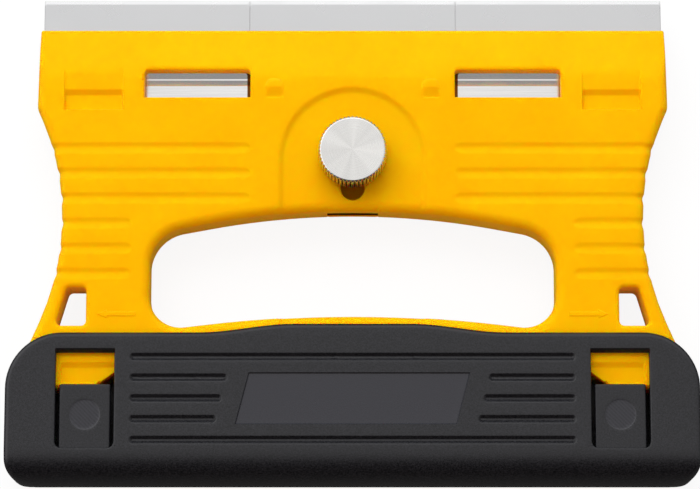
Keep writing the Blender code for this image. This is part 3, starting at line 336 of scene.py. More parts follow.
class Finishes(PropertyGroup):
    """Colours of the finishes and of some painted shade, in linear values."""

    yellow: tint("Yellow", "Handle plastic", (0.98, 0.478, 0.0014))
    yellow_pale: tint("Pale yellow", "Lighter patches of the handle plastic", (0.995, 0.505, 0.0018))
    # Painted shade: a dark colour on the walls of the carriage's track, deep in the screw's slot
    track: tint("Track", "Painted shade on the walls of the carriage's track", (0.12, 0.045, 0.004))
    # Painted shade: a dark colour in the knurl's roots and on the knob below its top rim
    knurl_shade: tint("Knurl", "Painted shade in the roots of the knurl", (0.10, 0.075, 0.05))
    black: tint("Black", "Cover plastic", (0.002, 0.002, 0.003))
    black_pale: tint("Pale black", "Lighter grains of the cover plastic", (0.013, 0.0125, 0.0155))
    panel: tint("Panel", "Smoother places of the cover plastic", (0.021, 0.0205, 0.026))
    blade: tint("Blade steel", "Ground faces of the blades", (0.625, 0.625, 0.63))
    bevel: tint("Blade bevel", "Polished bevels of the blades", (0.66, 0.66, 0.665))
    sheet: tint("Sheet steel", "Clamp and tray", (0.8, 0.79, 0.78))
    # Painted shade: a brown colour in the gap round the clamp's tabs, where the shell's ledges shade it
    tab_margin_shade: tint("Margin shade", "Painted shade in the margin round the clamp's tabs", (0.16, 0.05, 0.005))
    turned: tint("Turned steel", "Thumb screw", (0.80, 0.785, 0.76))
    zinc: tint("Zinc plate", "Nut, washer and shell screws", (0.60, 0.60, 0.575))


class StageSettings(PropertyGroup):
    """Camera, lamp, world light and floor."""

    elevation: FloatProperty(
        name="Elevation",
        description="Camera angle above the floor",
        default=math.radians(79.5),
        subtype="ANGLE",
    )
    distance: length("Distance", "Distance of the camera", 750.0)
    aim_setback: length("Aim setback", "Setback of the point in the picture's middle", 53.0)
    lens: FloatProperty(name="Lens", description="Focal length in millimetres", default=158.0)
    shift: FloatProperty(name="Shift", description="Sideways shift of the picture", default=-2.6 / 700.0)
    floor_half: length("Floor half", "Half width of the floor", 3000.0)
    floor_gap: length("Floor gap", "Gap between the part and the floor", 0.05)
    world: FloatProperty(
        name="World light", description="Strength of the light from the horizon", default=0.8
    )
    near_tint: tint("Near tint", "Tint of the world light from the near side", (0.89, 0.57, 0.36))
    far_tint: tint("Far tint", "Tint of the world light from the far side", (0.61, 0.82, 1.0))
    key: FloatProperty(name="Key lamp", description="Power of the large lamp in watts", default=7.0)


# Plan outlines


def both_sides(corners):
    """Closed corner list of a right half and its mirror image."""
    return corners + [(-x, setback, radius) for x, setback, radius in reversed(corners)]


def rounded(corners, step=ARC):
    """Closed outline of (x, setback, radius) corners, each an arc that touches both of its sides."""
    places = np.array([corner[:2] for corner in corners])
    pieces = []
    for i, (_, _, radius) in enumerate(corners):
        before = places[i] - places[i - 1]
        after = places[(i + 1) % len(places)] - places[i]
        turn = math.atan2(before[0] * after[1] - before[1] * after[0], before @ after)
        if radius * abs(turn) < MM / 1000:
            pieces.append(places[i : i + 1])
            continue
        heading = before / np.linalg.norm(before)
        start = places[i] - heading * radius * abs(math.tan(turn / 2))
        arm = -np.array((-heading[1], heading[0])) * math.copysign(radius, turn)
        angles = np.linspace(0.0, turn, max(3, math.ceil(abs(turn) / step) + 1))[:, None]
        across = np.array((-arm[1], arm[0]))
        pieces.append(start - arm + np.cos(angles) * arm + np.sin(angles) * across)
    return np.vstack(pieces)


def refine(outline, spacing):
    """The same closed outline with points no further apart than a spacing."""
    ends = np.roll(outline, -1, axis=0)
    counts = np.ceil(np.linalg.norm(ends - outline, axis=1) / spacing).astype(int).clip(1)
    which = np.repeat(np.arange(len(outline)), counts)
    share = (np.arange(counts.sum()) - np.repeat(np.cumsum(counts) - counts, counts)) / counts[which]
    return outline[which] + (ends - outline)[which] * share[:, None]


def inward(outline):
    """Vector at each point of a closed outline that moves both of its sides inwards by one."""
    sides = np.roll(outline, -1, axis=0) - outline
    area = (outline[:, 0] * np.roll(outline[:, 1], -1) - outline[:, 1] * np.roll(outline[:, 0], -1)).sum()
    normals = np.column_stack((-sides[:, 1], sides[:, 0])) / np.linalg.norm(sides, axis=1)[:, None]
    normals *= math.copysign(1.0, area)
    before = np.roll(normals, 1, axis=0)
    return (before + normals) / (1.0 + (before * normals).sum(axis=1)).clip(0.2)[:, None]


def distance(spots, path, closed=True):
    """Distance of each spot from the nearest side of a path."""
    first = path if closed else path[:-1]
    sides = (np.roll(path, -1, axis=0) if closed else path[1:]) - first
    squares = (sides**2).sum(axis=1).clip(1e-18)
    found = []
    for part in np.array_split(spots, len(spots) * len(path) // PAIRS_AT_ONCE + 1):
        reach = part[:, None] - first
        share = ((reach * sides).sum(axis=2) / squares).clip(0.0, 1.0)
        found.append(np.sqrt(((reach - share[..., None] * sides) ** 2).sum(axis=2)).min(axis=1))
    return np.concatenate(found)


def inside(spots, outline):
    """Whether each spot lies inside a closed outline, by counting the sides that a ray crosses."""
    first = outline
    last = np.roll(outline, -1, axis=0)
    found = []
    for part in np.array_split(spots, len(spots) * len(outline) // PAIRS_AT_ONCE + 1):
        x = part[:, 0, None]
        y = part[:, 1, None]
        spans = (first[:, 1] > y) != (last[:, 1] > y)
        rise = np.where(last[:, 1] == first[:, 1], 1.0, last[:, 1] - first[:, 1])
        cross = first[:, 0] + (y - first[:, 1]) * (last[:, 0] - first[:, 0]) / rise
        found.append((spans & (x < cross)).sum(axis=1) % 2 == 1)
    return np.concatenate(found)


def circle(x, setback, radius, steps=40):
    """Closed outline of points at equal angles round a middle."""
    angles = np.linspace(0.0, 2 * math.pi, steps, endpoint=False)
    return np.column_stack((x + radius * np.cos(angles), setback + radius * np.sin(angles)))


def rectangle(x, half, front, rear, grow=0.0, front_round=0.0, rear_round=0.0):
    """Closed outline round a middle x, grown on all sides, with a radius for its front and rear corners."""
    return rounded(
        [
            (x - half - grow, front - grow, front_round),
            (x + half + grow, front - grow, front_round),
            (x + half + grow, rear + grow, rear_round),
            (x - half - grow, rear + grow, rear_round),
        ],
        COARSE_ARC,
    )


def row_at(xs, setback):
    """Path of points side by side at one setback."""
    return np.column_stack((xs, np.full(len(xs), setback)))


def column_at(x, setbacks):
    """Path of points behind each other at one x."""
    return np.column_stack((np.full(len(setbacks), x), setbacks))


def mirrored(path, closed=False):
    """A path and its mirror image, as pairs of points and whether they close."""
    return [(path, closed), (path * (-1, 1), closed)]


def long_hole(half, first, last):
    """Closed outline of a slot along the setback whose round ends are centred on first and last."""
    angles = np.linspace(0.0, math.pi, 19)
    near = np.column_stack((half * np.cos(angles), first - half * np.sin(angles)))
    far = np.column_stack((-half * np.cos(angles), last + half * np.sin(angles)))
    return np.vstack((near, far))


def hexagon_grid(wide, front, rear, pitch):
    """Rows of spots, each row shifted by half a pitch against the last."""
    across = np.arange(-wide, wide, pitch)
    along = np.arange(front, rear, pitch * math.sqrt(0.75))
    x, setback = np.meshgrid(across, along)
    x[1::2] += pitch / 2
    return np.column_stack((x.ravel(), setback.ravel()))


# Height profiles


def soft_positive(value, soft):
    """Positive part of a value, rounded off near zero over a soft length."""
    return (value + np.sqrt(value**2 + soft**2)) / 2


def soft_least(first, second, soft):
    """Lesser of two heights, with their crease rounded off."""
    return first - soft_positive(first - second, soft)


def ramp(value, width, soft=0.05 * MM):
    """Rise from 0 to 1 as a value goes from 0 to a width, with both bends rounded off."""
    return (soft_positive(value, soft) - soft_positive(value - width, soft)) / width


def fillet_drop(gap, radius):
    """Fall of a quarter round below the face, at a gap from its edge."""
    return radius - np.sqrt(radius**2 - (radius - np.clip(gap, 0.0, radius)) ** 2)


def fillet_gaps(radius, steps):
    """Gaps from an edge at equal angles of a quarter round."""
    return radius * (1.0 - np.cos(np.linspace(0.0, math.pi / 2, steps + 1)[1:]))


# Meshes


def plan_net(outline, holes, paths, loose):
    """Delaunay triangles of a plan. The sides of outline, holes and (points, closed) paths stay edges."""
    points = []
    edges = []
    count = 0
    for path, closed in [(outline, True)] + [(hole, True) for hole in holes] + paths:
        index = np.arange(len(path)) + count
        pairs = np.column_stack((index, np.roll(index, -1)))
        edges.append(pairs if closed else pairs[:-1])
        points.append(path)
        count += len(path)
    points = np.vstack(points + loose) * (1 / MM, -1 / MM)
    places = [Vector(point) for point in points.tolist()]
    net = geometry.delaunay_2d_cdt(places, np.vstack(edges).tolist(), [], 0, MERGE_MILLIMETRES)
    spots = np.array([tuple(point) for point in net[0]]) * (MM, -MM)
    triangles = np.array(net[2])
    centres = spots[triangles].mean(axis=1)
    kept = inside(centres, outline)
    for hole in holes:
        kept &= ~inside(centres, hole)
    used, triangles = np.unique(triangles[kept], return_inverse=True)
    return spots[used], triangles.reshape(-1, 3)


def slab(net, upper, lower, side):
    """Points and triangles between two heights over a net. Side 1 faces up and side -1 faces down."""
    spots, triangles = net
    count = len(spots)
    ways = np.vstack((triangles[:, [0, 1]], triangles[:, [1, 2]], triangles[:, [2, 0]]))
    alone = ~np.isin(ways[:, 0] * count + ways[:, 1], ways[:, 1] * count + ways[:, 0])
    start, end = ways[alone].T
    faces = np.vstack(
        (
            triangles,
            triangles[:, ::-1] + count,
            np.column_stack((start, start + count, end + count)),
            np.column_stack((start, end + count, end)),
        )
    )
    plan = np.column_stack((spots[:, 0], NOSE - spots[:, 1]))
    points = np.vstack([np.column_stack((plan, MIDDLE + side * height)) for height in (upper, lower)])
    return points, faces if side > 0 else faces[:, ::-1]


def turned(radius, height, x, setback, side=1):
    """Points and triangles of radii, one row for each height, turned round an upright axis."""
    rows, steps = radius.shape
    angles = np.linspace(0.0, 2 * math.pi, steps, endpoint=False)
    height = np.broadcast_to(height if height.ndim == 2 else height[:, None], radius.shape)
    across = x + radius * np.cos(angles)
    ahead = NOSE - setback + radius * np.sin(angles)
    points = np.stack((across, ahead, MIDDLE + side * height), axis=2)
    low, step = np.meshgrid(np.arange(rows - 1), np.arange(steps), indexing="ij")
    here = low * steps + step
    beside = low * steps + (step + 1) % steps
    corners = (here, beside, beside + steps, here, beside + steps, here + steps)
    faces = np.stack(corners, axis=2).reshape(-1, 3)
    return points.reshape(-1, 3), faces if side > 0 else faces[:, ::-1]


def joined(parts):
    """One set of points and triangles from several."""
    counts = np.cumsum([0] + [len(points) for points, _ in parts])
    faces = np.vstack([faces + start for (_, faces), start in zip(parts, counts)])
    return np.vstack([points for points, _ in parts]), faces


def welded(points, faces):
    """The same mesh with equal points merged and triangles without area left out."""
    places = np.round(points / WELD_DISTANCE)
    _, first, index = np.unique(places, axis=0, return_index=True, return_inverse=True)
    faces = index.reshape(-1)[faces]
    whole = (faces[:, 0] != faces[:, 1]) & (faces[:, 1] != faces[:, 2]) & (faces[:, 2] != faces[:, 0])
    return points[first], faces[whole]


def new_piece(name, body, nodes, material, shape, crease=math.radians(30.0)):
    """Object of a welded mesh that rides on a body and stands for CAD nodes."""
    points, faces = welded(*shape)
    mesh = bpy.data.meshes.new(name)
    mesh.vertices.add(len(points))
    mesh.vertices.foreach_set("co", points.astype(np.float32).ravel())
    mesh.loops.add(faces.size)
    mesh.loops.foreach_set("vertex_index", faces.astype(np.int32).ravel())
    mesh.polygons.add(len(faces))
    mesh.polygons.foreach_set("loop_start", np.arange(0, faces.size, 3, dtype=np.int32))
    mesh.update(calc_edges=True)
    mesh.validate()
    mesh.shade_smooth()
    mesh.set_sharp_from_angle(angle=crease)
    mesh.materials.append(material)
    piece = bpy.data.objects.new(name, mesh)
    bpy.context.scene.collection.objects.link(piece)
    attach(piece, body)
    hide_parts(*nodes)
    return piece


# Handle shells


def handle_corners(s, start):
    """Outer outline of the handle from a setback at the nose round to the grip bar."""
    lean = (s.shoulder_half - s.nose_half) / s.shoulder_setback
    inner = LUG_HALF - s.lug_width
    return both_sides(
        [
            (s.nose_half + lean * start, start, s.nose_corner),
            (s.shoulder_half, s.shoulder_setback, s.shoulder_round),
            (s.waist_half, s.waist_setback, s.waist_round),
            (s.waist_half, s.flare_setback, s.flare_round),
            (LUG_HALF, s.lug_start, s.lug_round),
            (LUG_HALF, LUG_END, s.lug_corner),
            (inner, LUG_END, s.lug_corner),
            (inner - s.lug_slant, s.bar_rear, s.lug_round),
        ]
    )


def opening_outline(s):
    """Hand opening: two long arcs between round corners."""
    rim_peak = s.rim_setback - s.rim_round * (math.hypot(1.0, s.rim_drop / s.opening_half) - 1.0)
    bar_peak = s.bar_setback - s.bar_round * (math.hypot(1.0, s.bar_drop / s.opening_half) - 1.0)
    return rounded(
        [
            (0.0, rim_peak, s.rim_round),
            (s.opening_half, rim_peak + s.rim_drop, s.opening_round),
            (s.opening_half, bar_peak + s.bar_drop, s.opening_rear),
            (0.0, bar_peak, s.bar_round),
            (-s.opening_half, bar_peak + s.bar_drop, s.opening_rear),
            (-s.opening_half, rim_peak + s.rim_drop, s.opening_round),
        ],
        FINE_ARC,
    )


def handle_half_width(s, setbacks):
    """Half width of the handle's outline at setbacks between nose and lugs."""
    outline = refine(rounded(handle_corners(s, 0.0)), MM)
    right = outline[(outline[:, 0] > s.opening_half + s.lug_width) & (outline[:, 1] < s.lug_start)]
    order = np.argsort(right[:, 1])
    return np.interp(setbacks, right[order, 1], right[order, 0])


def groove_sink(spots, s):
    """Depth of the grip grooves: a wave across, steeper at the front, that runs along X to a round end."""
    half = s.groove_width / 2
    number = np.round((spots[:, 1] - s.groove_setback) / s.groove_pitch).clip(0, s.groove_count - 1)
    across = spots[:, 1] - s.groove_setback - number * s.groove_pitch
    end = np.where(number < s.groove_long, s.groove_long_end, s.groove_short_end) + half
    beyond = np.maximum(end - np.abs(spots[:, 0]), 0.0) / half
    room = np.sqrt(np.maximum(1.0 - beyond**2, 1e-6))
    place = across / (half * room)
    bottom = 2 * s.groove_lean - 1
    share = np.abs(place - bottom) / np.where(place < bottom, 1 + bottom, 1 - bottom)
    return s.groove_depth * room * (0.5 + 0.5 * np.cos(math.pi * share.clip(0.0, 1.0)))


def groove_paths(s):
    """Lines along the grip grooves, at shares of their width."""
    paths = []
    margin = 0.6 * MM
    turn = np.linspace(-math.pi / 2, math.pi / 2, 13)
    for number in range(s.groove_count):
        middle = s.groove_setback + number * s.groove_pitch
        end = s.groove_long_end if number < s.groove_long else s.groove_short_end
        first = end + s.groove_width / 2
        last = handle_half_width(s, middle) - s.edge_fillet - s.groove_depth - margin
        run = np.linspace(last, first, 2 + int((last - first) / MM))
        for share in (1.05, 0.85, 0.66, 0.46, 0.24):
            half = share * s.groove_width / 2
            cap = np.column_stack((first - half * np.cos(turn), middle + half * np.sin(turn)))
            upper = row_at(run[:-1], middle - half)
            lower = row_at(run[-2::-1], middle + half)
            paths += mirrored(np.vstack((upper, cap, lower)))
        paths += mirrored(row_at(run, middle))
    return paths


def scalloped(s, outline):
    """Handle outline with more points where the grip grooves cross it."""
    even = refine(outline, OUTLINE_SPACING)
    near = np.abs(even[:, 1] - s.groove_setback - (s.groove_count - 1) / 2 * s.groove_pitch)
    grooved = (near < s.groove_count / 2 * s.groove_pitch) & (np.abs(even[:, 0]) > s.opening_half)
    return refine(even, np.where(grooved, FINE_SPACING, MM))


def arch_inside(spots, s):
    """Distance inside the arched recess, which is round at the top and has straight sides."""
    above = np.minimum(spots[:, 1] - s.arch_top - s.arch_radius, 0.0)
    return s.arch_radius - np.hypot(spots[:, 0], above)


def arch_paths(s):
    """Lines along the arch's sloped wall and past both of its bends."""
    paths = []
    centre = s.arch_top + s.arch_radius
    bend = 1.5 * s.arch_soft
    turn = np.linspace(0.0, math.pi, 73)
    rear = np.arange(s.rim_setback - 0.8 * MM, centre, -ROW_SPACING)
    for gap in np.linspace(-bend, s.arch_draft + bend, 9):
        radius = s.arch_radius - gap
        cap = np.column_stack((radius * np.cos(turn), centre - radius * np.sin(turn)))
        leg = column_at(radius, rear)
        paths.append((np.vstack((leg, cap, leg[::-1] * (-1, 1))), False))
    return paths


def nub_rise(spots, s):
    """Height of the nubs: a quarter dome, a ridge, and behind it a ramp that ends under the face."""
    x = np.abs(np.abs(spots[:, 0]) - s.nub_middle) / (s.nub_width / 2)
    along = spots[:, 1] - s.nub_ridge
    dome = np.sqrt(np.maximum(1.0 - x**2.5 - (np.minimum(along, 0.0) / s.nub_front) ** 2, 0.0))
    fall = (s.nub_height + s.nub_sink) * np.maximum(along, 0.0) / s.nub_rear
    end_wall = 0.3 * MM
    return dome * (s.nub_height - fall) * ramp(s.nub_rear - along, end_wall)


def arrow_outline(s):
    """Plain arrow that points outwards."""
    head = 2.4 * MM
    neck = s.arrow_tip - head
    shaft = s.arrow_half * 0.5
    corners = [
        (s.arrow_tail, -shaft),
        (neck, -shaft),
        (neck, -s.arrow_half),
        (s.arrow_tip, 0.0),
        (neck, s.arrow_half),
        (neck, shaft),
        (s.arrow_tail, shaft),
    ]
    return np.array(corners) + (0.0, s.arrow_setback)


def room_outline(s, grow, side):
    """Pocket of the carriage, open at nose, sides and hand opening. In front it has room for the tabs."""
    past_nose = 5 * MM
    past_rim = 3 * MM
    rear = s.room_rear + grow
    half = [(LUG_HALF, -past_nose, 0.0), (LUG_HALF, rear, 0.0)]
    if side > 0:
        half.append((s.tab_room + grow, rear, 0.0))
        rear = s.tab_rear + grow
        half.append((s.tab_room + grow, rear, 0.0))
    half += [
        (s.tail_half + grow, rear, s.room_round),
        (s.tail_half + grow, s.tail_rear + grow, 0.0),
        (s.neck_half + grow, s.tail_rear + grow, s.room_round),
        (s.neck_half + grow, s.rim_setback + past_rim, 0.0),
    ]
    return rounded(both_sides(half))


def nut_outline(s, grow):
    """Room in the back shell that the nut slides in."""
    return long_hole(s.nut_room + grow, SCREW_SETBACK, SCREW_SETBACK + s.nut_travel)


def hang_outlines(s):
    """Hanging slots in the legs, whose outer sides follow the flare."""
    upper, lower = handle_half_width(s, (s.hang_top, s.hang_bottom)) - (s.hang_strip, s.hang_strip_rear)
    inner = upper - s.hang_width
    corners = [(inner, s.hang_top), (upper, s.hang_top), (lower, s.hang_bottom), (inner, s.hang_bottom)]
    right = rounded([(*corner, s.hang_corner) for corner in corners], COARSE_ARC)
    right = refine(right, RIM_SPACING)
    return [right, right * (-1, 1)]


def catches(s):
    """Front setback and length of the catch in the nose and of the one under the cover."""
    return (s.catch_front, s.catch_run), (s.tenon_catch, s.tenon_run)


def catch_sink(spots, height, s):
    """Height after the catches are cut: a shallow lead-in, the deep part, and the one under the cover."""
    soft = 0.03 * MM
    lead_wall = 0.12 * MM
    wall_bend = 0.12 * MM
    side_wall = 0.3 * MM
    x = s.catch_half - np.abs(np.abs(spots[:, 0]) - s.catch_middle)
    setback = spots[:, 1]
    lead = np.minimum(x, s.catch_front + MM - setback)
    height -= ramp(lead, lead_wall) * soft_positive(height - s.body_half + s.catch_shallow, soft)
    for front, run in catches(s):
        deep = ramp(setback - front + s.catch_wall / 2, s.catch_wall, wall_bend)
        deep *= ramp(np.minimum(x, front + run - setback), side_wall)
        height -= deep * soft_positive(height - s.body_half + s.catch_deep, soft)
    return height


def catch_paths(s):
    """Edges of the catches and lines along their sloped walls."""
    paths = []
    lead_front = 2 * MM
    edges = [(lead_front, s.catch_front + MM)]
    row = np.arange(s.catch_middle - s.catch_half, s.catch_middle + s.catch_half, ROW_SPACING)
    for front, run in catches(s):
        edges.append((front - s.catch_wall * 0.6, front + run))
        for share in (-0.5, -0.38, -0.12, 0.12, 0.38, 0.5, 0.6):
            paths += mirrored(row_at(row, front + share * s.catch_wall))
    for front, rear in edges:
        for grow in (0.05 * MM, -0.1 * MM, -0.33 * MM):
            loop = rectangle(s.catch_middle, s.catch_half, front, rear, grow)
            paths += mirrored(refine(loop, LOOP_SPACING), True)
    return paths


def edge_rings(outline, radius, steps, sink=0.0):
    """Loose spots inside an outline at the gaps of its fillet, less those too near another side."""
    way = inward(outline)
    nearest = 0.97
    found = []
    for gap in fillet_gaps(radius, steps):
        ring = outline + way * (np.reshape(sink, (-1, 1)) + gap)
        found.append(ring[distance(ring, outline) > gap * nearest])
    return np.vstack(found)


def hole_rings(hole, radius, steps):
    """Loose spots outside a hole at the gaps of its fillet."""
    return np.vstack([hole - inward(hole) * gap for gap in fillet_gaps(radius, steps)])


def screw_spots():
    """(x, setback) of the shell screws, from the middles of their boxes."""
    boxes = [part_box(name) for name in SHELL_SCREWS]
    return [((low.x + high.x) / 2, NOSE - (low.y + high.y) / 2) for low, high in boxes]


def boss_rings(radius, wall, steps):
    """Circles at both sides of the steep wall round each shell screw."""
    return [(circle(x, y, radius + grow, steps), True) for x, y in screw_spots() for grow in (0, wall)]


def shell_paths(s, side):
    """Lines of a shell's net: along its grooves, pockets and recesses, and where its face bends."""
    paths = groove_paths(s)
    paths += [(refine(room_outline(s, grow, side), LOOP_SPACING), True) for grow in POCKET_WALL]
    if side > 0:
        paths += arch_paths(s) + catch_paths(s)
        paths += boss_rings(s.boss_pilot, 0.05 * MM, 20)
        arrow = arrow_outline(s)
        for gap in (0.0, ARROW_WALL):
            paths += mirrored(refine(arrow + inward(arrow) * gap, 0.8 * MM), True)
    else:
        paths += boss_rings(s.head_room, 0.06 * MM, 40)
        paths += [(nut_outline(s, grow), True) for grow in POCKET_WALL]
    for setback in s.nose_slope + np.array((-0.6, -0.25, 0.0, 0.25, 0.6)) * MM:
        row = np.arange(-s.nose_half + MM, s.nose_half - MM, ROW_SPACING)
        paths.append((row_at(row, setback), False))
    for setback in s.tenon_setback + np.array((-0.06, 0.0, 0.1, 0.16)) * MM:
        row = np.arange(s.opening_half + 4 * MM, LUG_HALF, ROW_SPACING)
        row = row[row < handle_half_width(s, setback) - 0.5 * MM]
        paths += mirrored(row_at(-row, setback))
    return paths


def face_height(spots, s, side, rim, rim_fillet):
    """Face of a shell before its small holes, as a height over each spot.

    It is a flat face less grooves and fillets, which gives way to the sloped nose and the thinner rear end,
    and then gets its recesses and raised marks. The rim is each spot's distance from the hand opening.
    """
    nose_bend = 0.35 * MM
    tenon_bend = 0.03 * MM
    groove = groove_sink(spots, s)
    past_nose = 10 * MM
    gap = distance(spots, rounded(handle_corners(s, -past_nose))) - groove * SCALLOP
    height = s.body_half - groove - fillet_drop(gap, s.edge_fillet) - fillet_drop(rim, rim_fillet)
    slope = s.nose_edge + (s.body_half - s.nose_edge) / s.nose_slope * spots[:, 1]
    slope -= fillet_drop(np.minimum(np.minimum(gap, rim), spots[:, 1]), s.nose_round)
    height = soft_least(height, slope, nose_bend)
    tenon = s.body_half - s.tenon_step * ramp(spots[:, 1] - s.tenon_setback, 0.1 * MM, tenon_bend)
    height = soft_least(height, tenon, tenon_bend)
    if side > 0:
        arrow = arrow_outline(s)
        height = catch_sink(spots, height, s)
        height -= s.arch_depth * ramp(arch_inside(spots, s), s.arch_draft, s.arch_soft)
        height += s.arrow_height * inside(np.abs(spots), arrow + inward(arrow) * ARROW_WALL / 2)
    return height + nub_rise(spots, s)


def hole_edge(spots, s):
    """Edge radius of windows and screw slot at each spot: larger at a window's front side and ends."""
    edge = np.full(len(spots), s.rim_soft)
    edge[np.abs(np.abs(spots[:, 0]) - s.window_middle) > s.window_half] = s.window_side
    front = ramp(s.window_front + 0.7 * MM - spots[:, 1], 1.2 * MM, 0.2 * MM)
    return edge + (s.window_edge - edge) * front


def head_rooms(spots, height, s):
    """Height after the recesses for the screw heads are cut."""
    for x, setback in screw_spots():
        away = np.hypot(spots[:, 0] - x, spots[:, 1] - setback)
        face = s.body_half - (s.tenon_step if setback > s.tenon_setback else 0.0)
        sunk = np.minimum(height, face - s.head_sink)
        height = np.where(away < s.head_room + 0.03 * MM, sunk, height)
    return height


def inner_height(spots, s, side):
    """Inner side of a shell: parting plane, carriage pocket, and the nut's room or the screw holes."""
    room = s.room_front if side > 0 else s.room_back
    under = np.where(inside(spots, room_outline(s, 0.0, side)), room, PARTING_HALF)
    if side < 0:
        return np.where(inside(spots, nut_outline(s, 0.0)), s.nut_depth, under)
    for x, setback in screw_spots():
        away = np.hypot(spots[:, 0] - x, spots[:, 1] - setback)
        under = np.where(away < s.boss_pilot + 0.02 * MM, s.boss_bite, under)
    return under


def shell_shape(s, side):
    """One handle shell: its face height over the plan, less fillets, and the pocket on its inner side."""
    smooth = scalloped(s, rounded(handle_corners(s, 0.0)))
    sink = groove_sink(smooth, s) * SCALLOP
    outline = smooth + inward(smooth) * sink[:, None]
    opening = refine(opening_outline(s), OUTLINE_SPACING)
    opening_fillet = s.edge_fillet if side > 0 else s.opening_back
    slots = hang_outlines(s)
    slot_fillet = s.hang_fillet if side > 0 else s.hang_back
    holes = [opening] + slots
    soft_holes = []
    if side > 0:
        for x in (-s.window_middle, s.window_middle):
            window = rectangle(x, s.window_half, s.window_front, s.window_rear, 0.0, s.window_round)
            soft_holes.append(refine(window, RIM_SPACING))
        soft_holes.append(long_hole(s.slot_half, SCREW_SETBACK, SCREW_SETBACK + s.slot_travel))
    else:
        holes += [circle(x, setback, s.boss_hole, 24) for x, setback in screw_spots()]
    nub = hexagon_grid(s.nub_width * 0.7, -s.nub_front * 1.2, s.nub_rear * 1.1, 0.26 * MM)
    nub = nub + (s.nub_middle, s.nub_ridge)
    loose = [nub, nub * (-1, 1)]
    loose += [edge_rings(smooth, s.edge_fillet, 7, sink), hole_rings(opening, opening_fillet, 8)]
    loose += [hole_rings(slot, slot_fillet, 6) for slot in slots]
    loose += [hole_rings(hole, s.rim_soft, 3) for hole in soft_holes]
    loose += [hole_rings(window, s.window_edge, 6) for window in soft_holes[:2]]
    margin = 0.5 * MM
    grid = hexagon_grid(LUG_HALF, margin, LUG_END, 1.7 * MM)
    clear = distance(grid, outline) > s.edge_fillet + margin
    clear &= distance(grid, opening) > opening_fillet + margin
    loose.append(grid[clear])
    net = plan_net(outline, holes + soft_holes, shell_paths(s, side), loose)
    spots = net[0]
    height = face_height(spots, s, side, distance(spots, opening), opening_fillet)
    for slot in slots:
        height -= fillet_drop(distance(spots, slot), slot_fillet)
    for hole in soft_holes:
        height -= fillet_drop(distance(spots, hole), hole_edge(spots, s))
    if side < 0:
        height = head_rooms(spots, height, s)
    return slab(net, height, inner_height(spots, s, side), side)


class SCRAPER_OT_shells(Operator):
    """Builds the two moulded shells of the handle"""

    bl_idname = "scraper.shells"
    bl_label = "Handle Shells"

    def execute(self, context):
        sizes = context.scene.scraper_handle
        finish = context.scene.scraper_finish
        # The mask paints shade on the walls of the carriage's track
        plastic = moulded_plastic("Yellow Plastic", "yellow", finish, [(track_shade_mask, finish.track)])
        for name, node, side in (("front_moulding", "front_shell", 1), ("back_moulding", "back_shell", -1)):
            new_piece(name, "handle", [node], plastic, shell_shape(sizes, side))
        return {"FINISHED"}


# Cover


def cover_edge(s):
    """Setback of the cover's open edge beside its hump."""
    return COVER_FRONT + s.hump_height


def cover_outline(s):
    """Cover outline: round corners and a low hump in the middle of its open edge."""
    share = np.linspace(0.0, 1.0, 25)
    x = s.hump_flat + (s.hump_end - s.hump_flat) * share
    setback = COVER_FRONT + s.hump_height * share**2 * (3 - 2 * share)
    corners = [(*place, 0.0) for place in zip(x.tolist(), setback.tolist())]
    corners.append((COVER_WIDE, cover_edge(s), s.top_corner))
    corners.append((COVER_WIDE, COVER_END, s.end_corner))
    return rounded(both_sides(corners))


def rib_runs(s, side):
    """(setback, first x, last x) of the finger grooves, broken on the front face by the panel."""
    runs = []
    for number in range(s.rib_count):
        setback = cover_edge(s) + s.rib_first + number * s.rib_pitch
        lean = (number - (s.rib_count - 1) / 2) * s.panel_slant * s.rib_pitch / s.panel_height
        if side > 0 and 0 < number < s.rib_count - 1:
            runs.append((setback, -s.rib_end, -s.panel_half - s.panel_margin - lean))
            runs.append((setback, s.panel_half + s.panel_margin - lean, s.rib_end))
        else:
            runs.append((setback, -s.rib_end, s.rib_end))
    return runs


def panel_outline(s):
    """Plain sunk panel with slanted ends."""
    middle = cover_edge(s) + s.rib_first + (s.rib_count - 1) / 2 * s.rib_pitch
    half = s.panel_half
    lean = s.panel_slant / 2
    top = middle - s.panel_height / 2
    bottom = middle + s.panel_height / 2
    return np.array([(lean - half, top), (lean + half, top), (half - lean, bottom), (-half - lean, bottom)])


def window_place(s):
    """Front setback and half width of a tongue's window."""
    return cover_edge(s) + s.window_lead, s.tongue_half + s.tongue_gap


def tongue_windows(s):
    """Windows in the cover's face, round the catch tongues."""
    front, half = window_place(s)
    rear = front + s.window_run
    right = rectangle(s.tongue_middle, half, front + s.window_lip, rear, 0.0, 0.0, s.window_round)
    right = refine(right, 0.6 * MM)
    return [right, right * (-1, 1)]


def lip_fall(spots, s):
    """Fall of the sloped lips in front of the tongues' windows."""
    front, half = window_place(s)
    side_wall = 0.15 * MM
    within = half - np.abs(np.abs(spots[:, 0]) - s.tongue_middle)
    along = ramp(spots[:, 1] - front, s.window_lip, 0.04 * MM)
    along *= spots[:, 1] < front + s.window_lip + TOUCH
    return s.window_fall * along * ramp(within + side_wall, side_wall, 0.02 * MM)


def lip_paths(s):
    """Edges of those lips."""
    front, half = window_place(s)
    paths = []
    for grow in np.array((0.2, 0.1, 0.0)) * MM:
        across = np.linspace(s.tongue_middle - half - grow, s.tongue_middle + half + grow, 24)
        along = np.linspace(front + s.window_lip - 0.02 * MM, front - grow / 3, 4)
        left = column_at(across[0], along)[:-1]
        right = column_at(across[-1], along[::-1])[1:]
        paths += mirrored(np.vstack((left, row_at(across, front - grow / 3), right)))
    return paths


